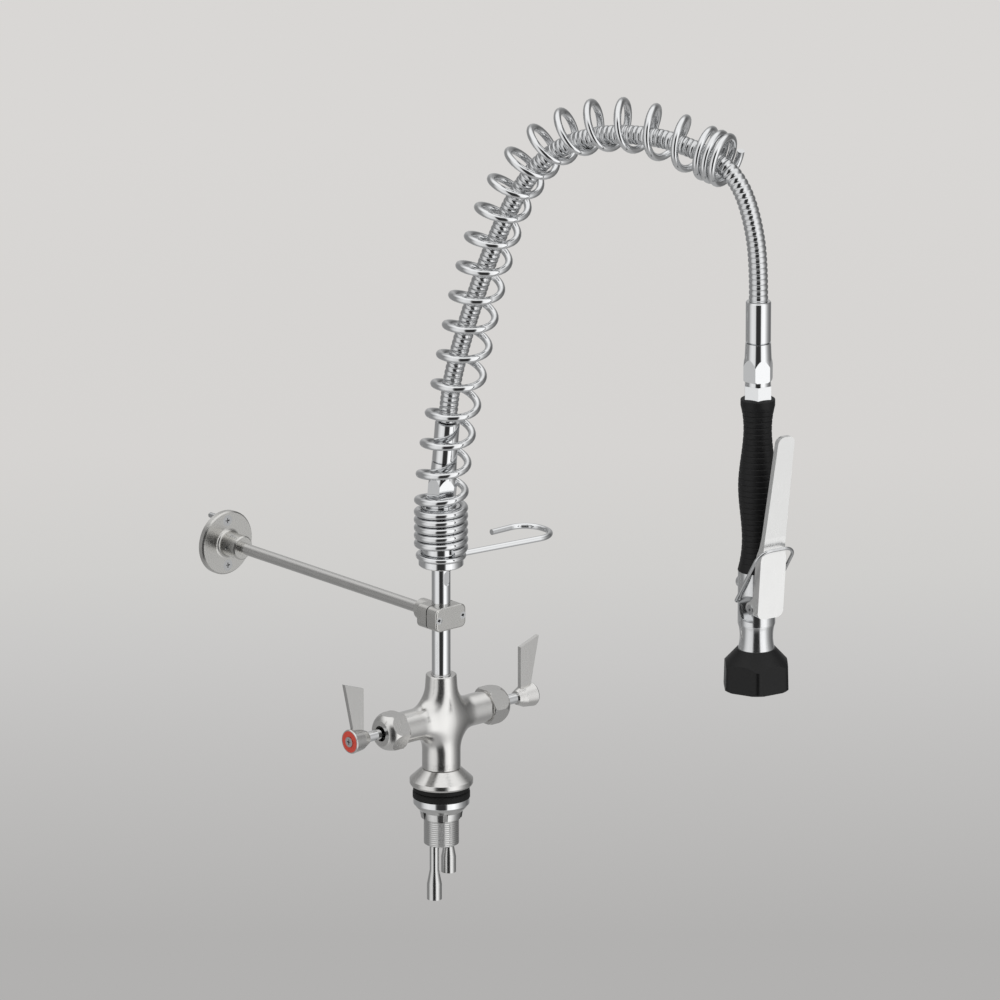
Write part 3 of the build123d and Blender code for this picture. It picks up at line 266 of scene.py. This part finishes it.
hose = plain_mesh("hose_armour", hose_curve, ribs, armour, soft.outputs[0])
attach(hose, "overhead")
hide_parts("spray_hose")

# ------------------------------------------------------------- support spring
# A coil of 6.4 mm spring wire, chrome plated, stands on the column and carries the hose.
# Its foot and its tip are wound close, and it opens out over the arch between them.

# Nickel and chrome on drawn wire: a mirror with the wire's faint draw in it.
spring_plate = polish("chromed_spring_wire", "#dfe0e1", 0.05, 0.10, 0.009)

wire_radius = 0.0032
coil_radius = 0.0198
middle_start = 0.2138
arch_start = 0.246
arch_knots = [
    (0, arch_start),
    (0.0162, 0.358),
    (0.0473, 0.485),
    (0.1025, 0.578),
    (0.187, 0.6062),
    (0.256, 0.592),
]
tip_fall = math.radians(13.5)
tip_length = 0.03


def smooth_tangents(knots, first, last):
    """The slopes of the smoothest curve through knots, with the first and the last slope given."""
    runs = [(after - before).length for before, after in zip(knots, knots[1:])]
    slopes = [first] + [Vector((0, 0, 0)) for _ in knots[2:]] + [last]
    for _ in range(60):
        for place in range(1, len(knots) - 1):
            before, after = runs[place - 1], runs[place]
            rise = (knots[place] - knots[place - 1]) * (3 * after / before)
            rise += (knots[place + 1] - knots[place]) * (3 * before / after)
            pull = slopes[place - 1] * after + slopes[place + 1] * before
            slopes[place] = (rise - pull) / (2 * (before + after))
    return slopes, runs


knots = [arch_way * reach + upright * height for reach, height in arch_knots]
tip_way = arch_way * math.cos(tip_fall) - upright * math.sin(tip_fall)
slopes, runs = smooth_tangents(knots, upright.copy(), tip_way.copy())
middle_foot = upright * middle_start
middle_tip = knots[-1] + tip_way * tip_length
middle, bends = curve_object("spring_middle", "BEZIER", [middle_foot, *knots, middle_tip])
middle.data.resolution_u = 64
places = [middle_foot, *knots, middle_tip]
lead_out = [upright, *slopes, tip_way]
before = [arch_start - middle_start, arch_start - middle_start, *runs, tip_length]
after = [arch_start - middle_start, *runs, tip_length, tip_length]
for bend, at, slope, back, on in zip(bends.bezier_points, places, lead_out, before, after):
    bend.handle_left_type = "FREE"
    bend.handle_right_type = "FREE"
    bend.co = at
    bend.handle_left = at - slope * back / 3
    bend.handle_right = at + slope * on / 3

coil, size = new_tree(
    "arch_spring",
    steps_per_turn=32,
    turns=27.4,
    closed_turns=5.0,
    ramp_turns=1.5,
    open_turns=17.7,
    end_ramp_turns=0.7,
    closed_pitch=0.0069,
    open_pitch=0.0269,
    end_pitch=0.0076,
    first_angle=math.radians(151),
    coil_radius=coil_radius,
    wire_radius=wire_radius,
)
whole = add(coil, "ShaderNodeMath", {0: size["turns"], 1: size["steps_per_turn"]}, operation="MULTIPLY")
count = add(coil, "ShaderNodeMath", {0: whole.outputs[0], 1: 1.0}, operation="ADD")
chain = add(coil, "GeometryNodeMeshLine", {"Count": count.outputs[0]})
index = add(coil, "GeometryNodeInputIndex")
turn = add(coil, "ShaderNodeMath", {0: index.outputs[0], 1: size["steps_per_turn"]}, operation="DIVIDE")
open_start = add(coil, "ShaderNodeMath", {0: size["closed_turns"], 1: size["ramp_turns"]}, operation="ADD")
open_stop = add(coil, "ShaderNodeMath", {0: open_start.outputs[0], 1: size["open_turns"]}, operation="ADD")
close_stop = add(
    coil,
    "ShaderNodeMath",
    {0: open_stop.outputs[0], 1: size["end_ramp_turns"]},
    operation="ADD",
)
opening = add(
    coil,
    "ShaderNodeMapRange",
    {
        "Value": turn.outputs[0],
        "From Min": size["closed_turns"],
        "From Max": open_start.outputs[0],
        "To Min": size["closed_pitch"],
        "To Max": size["open_pitch"],
    },
)
drop = add(coil, "ShaderNodeMath", {0: size["end_pitch"], 1: size["open_pitch"]}, operation="SUBTRACT")
closing = add(
    coil,
    "ShaderNodeMapRange",
    {
        "Value": turn.outputs[0],
        "From Min": open_stop.outputs[0],
        "From Max": close_stop.outputs[0],
        "To Min": 0.0,
        "To Max": drop.outputs[0],
    },
)
pitch = add(coil, "ShaderNodeMath", {0: opening.outputs[0], 1: closing.outputs[0]}, operation="ADD")
climb = add(coil, "ShaderNodeMath", {0: pitch.outputs[0], 1: size["steps_per_turn"]}, operation="DIVIDE")
along = add(coil, "GeometryNodeAccumulateField", {0: climb.outputs[0]})
station = add(
    coil,
    "GeometryNodeSampleCurve",
    {"Curves": size["Geometry"], "Length": along.outputs["Trailing"]},
    mode="LENGTH",
    use_all_curves=True,
)
angle = add(
    coil,
    "ShaderNodeMath",
    {0: turn.outputs[0], 1: math.tau, 2: size["first_angle"]},
    operation="MULTIPLY_ADD",
)
across = add(coil, "ShaderNodeMath", {0: angle.outputs[0]}, operation="COSINE")
beside = add(coil, "ShaderNodeMath", {0: angle.outputs[0]}, operation="SINE")
outward = add(
    coil,
    "ShaderNodeVectorMath",
    {0: tuple(arch_side), 1: station.outputs["Tangent"]},
    operation="CROSS_PRODUCT",
)
leg_out = add(
    coil,
    "ShaderNodeVectorMath",
    {0: outward.outputs[0], "Scale": across.outputs[0]},
    operation="SCALE",
)
leg_side = add(
    coil,
    "ShaderNodeVectorMath",
    {0: tuple(arch_side), "Scale": beside.outputs[0]},
    operation="SCALE",
)
spoke = add(coil, "ShaderNodeVectorMath", {0: leg_out.outputs[0], 1: leg_side.outputs[0]}, operation="ADD")
arm = add(
    coil,
    "ShaderNodeVectorMath",
    {0: spoke.outputs[0], "Scale": size["coil_radius"]},
    operation="SCALE",
)
spot = add(
    coil,
    "ShaderNodeVectorMath",
    {0: station.outputs["Position"], 1: arm.outputs[0]},
    operation="ADD",
)
wound = add(coil, "GeometryNodeSetPosition", {"Geometry": chain.outputs[0], "Position": spot.outputs[0]})
wire = add(coil, "GeometryNodeMeshToCurve", {"Mesh": wound.outputs[0]})
section = add(coil, "GeometryNodeCurvePrimitiveCircle", {"Resolution": 20, "Radius": size["wire_radius"]})
body = add(
    coil,
    "GeometryNodeCurveToMesh",
    {"Curve": wire.outputs[0], "Profile Curve": section.outputs[0], "Fill Caps": True},
)
soft = add(coil, "GeometryNodeSetShadeSmooth", {"Geometry": body.outputs[0]})
spring = plain_mesh("arch_spring", middle, coil, spring_plate, soft.outputs[0])
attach(spring, "overhead")
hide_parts("support_spring")

# -------------------------------------------------------- chrome-plated metal
# Riser, spring seat, fittings and hook are turned or drawn brass, buffed and plated.
# Plating leaves a deep mirror, a little softer where the buffing wheel could not reach.

chrome = polish("chrome_plate", "#e4e5e6", 0.05, 0.09, 0.012)
dress(
    chrome,
    "riser_tube",
    "spring_seat",
    "dish_hook",
    "swivel_adapter",
    "lower_hose_nut",
    "upper_hose_nut",
    "lower_ferrule",
    "upper_ferrule",
    "gun_inlet",
    "hot_spindle",
    "cold_spindle",
)

# ------------------------------------------------------------ satin castings
# Mixer body, deck flange, valve nuts, handles, wall bracket and clamp are cast stainless.
# Each is ground on a belt or in a lathe, then blasted a little, which leaves a soft satin.


def satin(name, colour, roughness, line_pitch, stretch, relief=0.05):
    """Satin stainless: a faint grain drawn out along the way the abrasive ran; relief is its strength."""
    made, tree, surface = finish(name, colour, 1.0, roughness)
    place = add(tree, "ShaderNodeTexCoord")
    drawn = add(tree, "ShaderNodeMapping", {"Vector": place.outputs["Object"], "Scale": stretch})
    lines = add(
        tree,
        "ShaderNodeTexNoise",
        {"Vector": drawn.outputs[0], "Scale": 1 / line_pitch, "Detail": 3.0, "Roughness": 0.6},
    )
    cloud = add(
        tree,
        "ShaderNodeTexNoise",
        {"Vector": place.outputs["Object"], "Scale": 60.0, "Detail": 2.0},
    )
    mixed = add(
        tree,
        "ShaderNodeMath",
        {0: cloud.outputs["Fac"], 1: 0.6, 2: lines.outputs["Fac"]},
        operation="MULTIPLY_ADD",
    )
    gloss = add(
        tree,
        "ShaderNodeMapRange",
        {
            "Value": mixed.outputs[0],
            "From Min": 0.6,
            "From Max": 1.0,
            "To Min": roughness - 0.03,
            "To Max": roughness + 0.04,
        },
    )
    tree.links.new(gloss.outputs["Result"], surface.inputs["Roughness"])
    shade = add(
        tree,
        "ShaderNodeMapRange",
        {
            "Value": lines.outputs["Fac"],
            "From Min": 0.3,
            "From Max": 0.7,
            "To Min": 1 - relief,
            "To Max": 1.0,
        },
    )
    tint = add(
        tree,
        "ShaderNodeMix",
        {"Factor": 1.0, "A": linear(colour), "B": shade.outputs["Result"]},
        data_type="RGBA",
        blend_type="MULTIPLY",
    )
    tree.links.new(tint.outputs["Result"], surface.inputs["Base Color"])
    scratch = add(
        tree,
        "ShaderNodeBump",
        {"Height": lines.outputs["Fac"], "Strength": relief, "Distance": 0.0001},
    )
    tree.links.new(scratch.outputs["Normal"], surface.inputs["Normal"])
    return made


# Lathe grain goes round upright parts, so it changes with height only.
turned_steel = satin("lathe_satin_stainless", "#dddcda", 0.21, 0.0010, (0.05, 0.05, 1.0))
cast_steel = satin("cast_satin_stainless", "#dddcda", 0.22, 0.0016, (1.0, 1.0, 1.0), 0.03)
arm_steel = satin("arm_satin_stainless", "#d9d8d6", 0.24, 0.0014, (1.0, 0.08, 0.08), 0.02)
rod_steel = satin("rod_satin_stainless", "#d6d5d3", 0.25, 0.0010, (1.0, 0.04, 1.0))
bracket_steel = satin("bracket_satin_stainless", "#d3d2cf", 0.27, 0.0014, (1.0, 0.08, 0.08), 0.02)
dress(turned_steel, "base_flange")
dress(arm_steel, "hot_handle", "cold_handle", "hot_bonnet_nut", "cold_bonnet_nut")
dress(rod_steel, "wall_rod")
dress(bracket_steel, "wall_flange", "front_clamp", "rear_clamp")

# The body's column and arms run into each other in broad hollows, as a sand casting's do. Each
# point of an even mesh of the CAD body is moved onto the smooth union of the two turned shapes.
arm_height = 0.064
blend = 0.015
column_outline = [
    (0.0, 0.0164),
    (0.064, 0.0164),
    (0.078, 0.0149),
    (0.087, 0.0141),
    (0.103, 0.013),
]
arm_outline = [(0.0, 0.0158), (0.012, 0.0152), (0.019, 0.0141), (0.026, 0.0136), (0.060, 0.0136)]
body_ends = (0.0215, 0.1022)
arm_cover = 0.0470
corner_ease = 0.004
voxel = 0.0008
deepest_move = 0.0045
settle_passes = 8
settle_share = 0.8
least_slope = 0.2


def outline_radius(along, outline):
    """The radius of a turned shape at some distances along it, with its outline's corners eased."""
    places, radii = zip(*outline)
    shifts = np.linspace(-corner_ease, corner_ease, 9)
    return sum(np.interp(along + shift, places, radii) for shift in shifts) / len(shifts)


def casting_gap(points):
    """How far outside the casting's surface some points are."""
    column = np.hypot(points[:, 0], points[:, 1]) - outline_radius(points[:, 2], column_outline)
    arm_radius = outline_radius(np.abs(points[:, 0]), arm_outline)
    arms = np.hypot(points[:, 1], points[:, 2] - arm_height) - arm_radius
    near = np.clip(1 - np.abs(column - arms) / blend, 0, 1)
    return np.minimum(column, arms) - near**2 * blend / 4


casting_mesh = nodes["mixer_body"].data.copy()
casting_mesh.name = "mixer_casting"
casting = bpy.data.objects.new("mixer_casting", casting_mesh)
bpy.context.scene.collection.objects.link(casting)
shell = bmesh.new()
shell.from_mesh(casting_mesh)
bmesh.ops.remove_doubles(shell, verts=shell.verts, dist=1e-6)
shell.to_mesh(casting_mesh)
shell.free()
even = casting.modifiers.new("even", "REMESH")
even.mode = "VOXEL"
even.voxel_size = voxel
evaluated = casting.evaluated_get(bpy.context.evaluated_depsgraph_get())
even_mesh = bpy.data.meshes.new_from_object(evaluated)
casting.modifiers.clear()
casting.data = even_mesh
even_mesh.name = "mixer_casting"
points = np.empty(len(even_mesh.vertices) * 3)
even_mesh.vertices.foreach_get("co", points)
points = points.reshape(-1, 3)
free = (points[:, 2] > body_ends[0]) & (points[:, 2] < body_ends[1])
free &= np.abs(points[:, 0]) < arm_cover
free &= casting_gap(points) > -deepest_move
step = 1e-5
for _ in range(settle_passes):
    gap = casting_gap(points)
    slope = np.stack([(casting_gap(points + way * step) - gap) / step for way in np.eye(3)], axis=1)
    steep = np.maximum((slope**2).sum(axis=1), least_slope)
    points -= np.where(free, gap / steep, 0)[:, None] * slope * settle_share
even_mesh.vertices.foreach_set("co", points.ravel())
even_mesh.update()
even_mesh.shade_smooth()
even_mesh.materials.clear()
even_mesh.materials.append(cast_steel)
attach(casting, "base")
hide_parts("mixer_body")

# ------------------------------------------------------------- deck fixing
# A rubber gasket seals the flange, and a nut on the threaded shank pulls it down from below.
# Nut, shank and supply tails are brass with bright nickel plate, and the washer is chromed.

nickel = polish("nickel_plated_brass", "#cfcfce", 0.13, 0.2, 0.004)
dress(nickel, "lock_nut", "hot_supply_tail", "cold_supply_tail")
dress(chrome, "clamp_washer")


def turned(name, centre, outline, around, material):
    """A closed hollow turned shape on an upright axis; its outline is pairs of radius and height."""
    spots = []
    for place in range(around):
        angle = math.tau * place / around
        for radius, height in outline:
            x = centre[0] + radius * math.cos(angle)
            y = centre[1] + radius * math.sin(angle)
            spots.append((x, y, height))
    rows = len(outline)
    faces = []
    for place in range(around):
        here, there = place * rows, (place + 1) % around * rows
        for row in range(rows):
            after = (row + 1) % rows
            faces.append((here + row, there + row, there + after, here + after))
    mesh = bpy.data.meshes.new(name)
    mesh.from_pydata(spots, [], faces)
    shell = bmesh.new()
    shell.from_mesh(mesh)
    bmesh.ops.recalc_face_normals(shell, faces=shell.faces)
    shell.to_mesh(mesh)
    shell.free()
    mesh.shade_smooth()
    mesh.set_sharp_from_angle(angle=math.radians(40))
    mesh.materials.append(material)
    made = bpy.data.objects.new(name, mesh)
    bpy.context.scene.collection.objects.link(made)
    return made


# A G7/8 pipe thread has 14 turns to the inch, so its rounded ridges are 1.8 mm apart.
# The ridges are closed rings here, which look the same as a helix this fine.
shank_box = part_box("threaded_shank")
thread_pitch = 0.0018
thread_depth = 0.00045
thread_crest = 0.0151
shank_bore = 0.0122
shank_spigot = 0.0142
thread_top = 0.0055
thread_steps = 6
thread_run_in = 0.0006
shank_chamfer = 0.0012
ridges = int((thread_top - shank_box[0][2]) / thread_pitch)
shank_outline = [(shank_bore, shank_box[0][2]), (thread_crest - shank_chamfer, shank_box[0][2])]
for place in range(1, ridges * thread_steps):
    height = shank_box[0][2] + thread_run_in + place * thread_pitch / thread_steps
    groove = 0.5 - 0.5 * math.cos(math.tau * place / thread_steps)
    shank_outline.append((thread_crest - thread_depth * groove, height))
shank_outline += [
    (thread_crest, thread_top),
    (shank_spigot, thread_top),
    (shank_spigot, shank_box[1][2]),
    (shank_bore, shank_box[1][2]),
]
shank = turned("shank_thread", (0, 0), shank_outline, 96, nickel)
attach(shank, "base")
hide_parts("threaded_shank")

# ----------------------------------------------------------------- rubber
# The grip is a moulded sleeve with fine rings, the bumper a thick cap over the spray head.
# Both are black and satin; gaskets and seals are duller.


def rubber(name, colour, roughness, grain, strength):
    """Moulded rubber: a skin with the mould's fine sand in it."""
    made, tree, surface = finish(name, colour, 0.0, roughness)
    surface.inputs["Specular IOR Level"].default_value = 0.3
    place = add(tree, "ShaderNodeTexCoord")
    sand = add(
        tree,
        "ShaderNodeTexNoise",
        {"Vector": place.outputs["Object"], "Scale": 1 / grain, "Detail": 4.0},
    )
    skin = add(
        tree,
        "ShaderNodeBump",
        {"Height": sand.outputs["Fac"], "Strength": strength, "Distance": 0.0003},
    )
    tree.links.new(skin.outputs["Normal"], surface.inputs["Normal"])
    gloss = add(
        tree,
        "ShaderNodeMapRange",
        {
            "Value": sand.outputs["Fac"],
            "From Min": 0.3,
            "From Max": 0.7,
            "To Min": roughness - 0.06,
            "To Max": roughness + 0.08,
        },
    )
    tree.links.new(gloss.outputs["Result"], surface.inputs["Roughness"])
    return made


grip_rubber = rubber("grip_rubber", "#151516", 0.5, 0.0012, 0.15)
bumper_rubber = rubber("bumper_rubber", "#0d0d0e", 0.4, 0.0015, 0.12)
gasket_rubber = rubber("gasket_rubber", "#131313", 0.6, 0.001, 0.15)

# The sleeve's own profile, with a shallow ring pressed into it every 4.9 mm.
gun_place = (gun_reach * math.sin(swing), -gun_reach * math.cos(swing))
grip_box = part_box("grip_sleeve")
grip_bore = 0.0085
ring_pitch = 0.0049
ring_depth = 0.00055
ring_half_width = 0.0007
plain_foot = 0.006
plain_top = 0.009
end_round = 0.0006
least_wall = 0.001
shape = np.empty(len(nodes["grip_sleeve"].data.vertices) * 3)
nodes["grip_sleeve"].data.vertices.foreach_get("co", shape)
shape = shape.reshape(-1, 3)
reach = np.hypot(shape[:, 0] - gun_place[0], shape[:, 1] - gun_place[1])
skin = {}
for height, radius in zip(shape[:, 2], reach):
    if radius > grip_bore + least_wall:
        skin[round(float(height), 5)] = max(radius, skin.get(round(float(height), 5), 0))
heights = sorted(skin)
widest = [skin[height] for height in heights]
grip_outline = [(grip_bore, grip_box[0][2]), (widest[0] - end_round, grip_box[0][2])]
stations = np.arange(grip_box[0][2] + end_round, grip_box[1][2] - end_round, ring_half_width / 2)
for height in stations:
    radius = float(np.interp(height, heights, widest))
    to_ring = abs((height - grip_box[0][2]) % ring_pitch - ring_pitch / 2) / ring_half_width
    ringed = grip_box[0][2] + plain_foot < height < grip_box[1][2] - plain_top and to_ring < 1
    grip_outline.append((radius - (ring_depth * (1 - to_ring**2) if ringed else 0), height))
grip_outline += [(widest[-1] - end_round, grip_box[1][2]), (grip_bore, grip_box[1][2])]
grip = turned("ringed_grip", gun_place, grip_outline, 72, grip_rubber)
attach(grip, "spray_gun")
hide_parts("grip_sleeve")
dress(bumper_rubber, "bumper")
dress(gasket_rubber, "deck_gasket", "under_deck_gasket", "valve_seal", "swivel_o_rings")
dress(gasket_rubber, "lower_hose_washer", "upper_hose_washer")

# ---------------------------------------------------------------- spray gun
# The gun's body and spray head are plated brass, its lever a pressed stainless channel.
# The valve's stem, cap and gland, the pivot pin and the wire bail are small bright steel parts.

gun_chrome = polish("gun_satin_chrome", "#dcddde", 0.13, 0.18, 0.01)
dress(gun_chrome, "spray_body", "nozzle_cone", "valve_cap")
lever_steel = satin("pressed_lever_stainless", "#f2f2f1", 0.3, 0.0016, (1.0, 1.0, 0.05), 0.005)
dress(lever_steel, "trigger_lever")
bright_steel = polish("bright_stainless", "#cfd0d1", 0.12, 0.2, 0.004)
dress(
    bright_steel,
    "pivot_pin",
    "hold_bail",
    "valve_stem",
    "valve_spring",
    "spray_plate",
    "wall_screws",
    "wall_grub_screw",
)
dress(chrome, "clamp_screws", "hot_handle_screw", "cold_handle_screw")
brass = satin("turned_brass", "#c4a15a", 0.3, 0.001, (0.1, 0.1, 1.0))
dress(brass, "handle_tube", "stem_gland")
dull_nickel = satin("blackened_nickel", "#6b6a68", 0.35, 0.001, (1.0, 0.1, 0.1))
dress(dull_nickel, "hot_cartridge", "cold_cartridge")

# ---------------------------------------------------------------- index rings
# A thin moulded ring under each handle's screw tells hot from cold.


def moulded(name, colour):
    """Glossy ABS with a faint unevenness from the mould."""
    made, tree, surface = finish(name, colour, 0.0, 0.3)
    place = add(tree, "ShaderNodeTexCoord")
    flow = add(tree, "ShaderNodeTexNoise", {"Vector": place.outputs["Object"], "Scale": 300.0})
    skin = add(tree, "ShaderNodeBump", {"Height": flow.outputs["Fac"], "Strength": 0.05, "Distance": 0.0003})
    tree.links.new(skin.outputs["Normal"], surface.inputs["Normal"])
    return made


dress(moulded("red_abs", "#e2503f"), "hot_index_ring")
dress(moulded("blue_abs", "#2f62b5"), "cold_index_ring")

# --------------------------------------------------------------------- studio
# A pale floor far below glows by itself, so it takes no shadow, and reflections don't see it.
# Its glow is painted light: a painted falloff from grey near the camera to near white far off.
# The world stands for two tall white screens left and right of the camera, with a dark gap
# between them that draws a thin dark line down every chrome tube.

floor_mesh = bpy.data.meshes.new("floor")
floor_size = 60.0
floor_height = -0.45
corners = [(x * floor_size, y * floor_size, floor_height) for x, y in ((-1, -1), (1, -1), (1, 1), (-1, 1))]
floor_mesh.from_pydata(corners, [], [(0, 1, 2, 3)])
floor = bpy.data.objects.new("floor", floor_mesh)
bpy.context.scene.collection.objects.link(floor)
floor_paint, tree, surface = finish("studio_floor", "#000000", 0.0, 1.0)
near_edge, far_edge = ((height - floor_height) / math.tan(camera_dip) for height in (-0.168, 0.699))
place = add(tree, "ShaderNodeTexCoord")
depth = add(
    tree,
    "ShaderNodeVectorMath",
    {0: place.outputs["Object"], 1: tuple(away)},
    operation="DOT_PRODUCT",
)
fade = add(
    tree,
    "ShaderNodeMapRange",
    {"Value": depth.outputs["Value"], "From Min": near_edge, "From Max": far_edge},
)
# Painted light falloff on the floor: darker near the camera, near white far off.
painted_floor_ramp = add(tree, "ShaderNodeValToRGB", {"Fac": fade.outputs["Result"]})
ramp = painted_floor_ramp.color_ramp
ramp.elements[0].color = linear("#b2b1b0")
ramp.elements[1].color = linear("#d9d7d5")
painted_floor_light = [
    (0.2, "#c1c0bf"),
    (0.3, "#c9c8c7"),
    (0.4, "#d0cfcd"),
    (0.55, "#d6d4d2"),
    (0.75, "#d7d5d3"),
]
for at, colour in painted_floor_light:
    ramp.elements.new(at).color = linear(colour)
tree.links.new(painted_floor_ramp.outputs["Color"], surface.inputs["Emission Color"])
surface.inputs["Emission Strength"].default_value = 1.0
surface.inputs["Specular IOR Level"].default_value = 0.0
floor_mesh.materials.append(floor_paint)
floor.visible_glossy = False
floor.visible_diffuse = False

room = bpy.data.worlds.new("studio")
bpy.context.scene.world = room
room.use_nodes = True
tree = room.node_tree
sky = tree.nodes["Background"]
place = add(tree, "ShaderNodeTexCoord")
sideways, forward, rise = (
    add(
        tree,
        "ShaderNodeVectorMath",
        {0: place.outputs["Generated"], 1: tuple(way)},
        operation="DOT_PRODUCT",
    )
    for way in (to_right, -away, upright)
)
bearing = add(
    tree,
    "ShaderNodeMath",
    {0: sideways.outputs["Value"], 1: forward.outputs["Value"]},
    operation="ARCTAN2",
)
part = add(tree, "ShaderNodeMath", {0: bearing.outputs[0], 1: math.tau}, operation="DIVIDE")
round_part = add(tree, "ShaderNodeMath", {0: part.outputs[0], 1: 0.5}, operation="ADD")
screens = add(tree, "ShaderNodeValToRGB", {"Fac": round_part.outputs[0]})
ramp = screens.color_ramp
screen_levels = [
    (0.0, 0.5),
    (0.1, 0.3),
    (0.24, 0.3),
    (0.3, 0.8),
    (0.35, 0.95),
    (0.425, 0.85),
    (0.445, 0.1),
    (0.46, 0.035),
    (0.54, 0.035),
    (0.56, 0.15),
    (0.575, 1.15),
    (0.65, 1.3),
    (0.7, 0.9),
    (0.728, 0.58),
    (0.778, 0.3),
    (0.861, 0.14),
    (0.972, 0.4),
    (1.0, 0.5),
]
ramp.elements[0].color = (screen_levels[0][1],) * 3 + (1,)
ramp.elements[1].color = (screen_levels[-1][1],) * 3 + (1,)
for at, level in screen_levels[1:-1]:
    ramp.elements.new(at).color = (level, level, level, 1)
ceiling = add(
    tree,
    "ShaderNodeMapRange",
    {"Value": rise.outputs["Value"], "From Min": 0.5, "From Max": 0.8},
)
roof = add(
    tree,
    "ShaderNodeMix",
    {"Factor": ceiling.outputs["Result"], "A": screens.outputs["Color"], "B": (1.1, 1.1, 1.1, 1)},
    data_type="RGBA",
)
ground = add(
    tree,
    "ShaderNodeMapRange",
    {"Value": rise.outputs["Value"], "From Min": -0.6, "From Max": -0.85},
)
table = add(
    tree,
    "ShaderNodeMix",
    {"Factor": ground.outputs["Result"], "A": roof.outputs["Result"], "B": (0.45, 0.45, 0.45, 1)},
    data_type="RGBA",
)
tree.links.new(table.outputs["Result"], sky.inputs["Color"])
sky.inputs["Strength"].default_value = 1.0
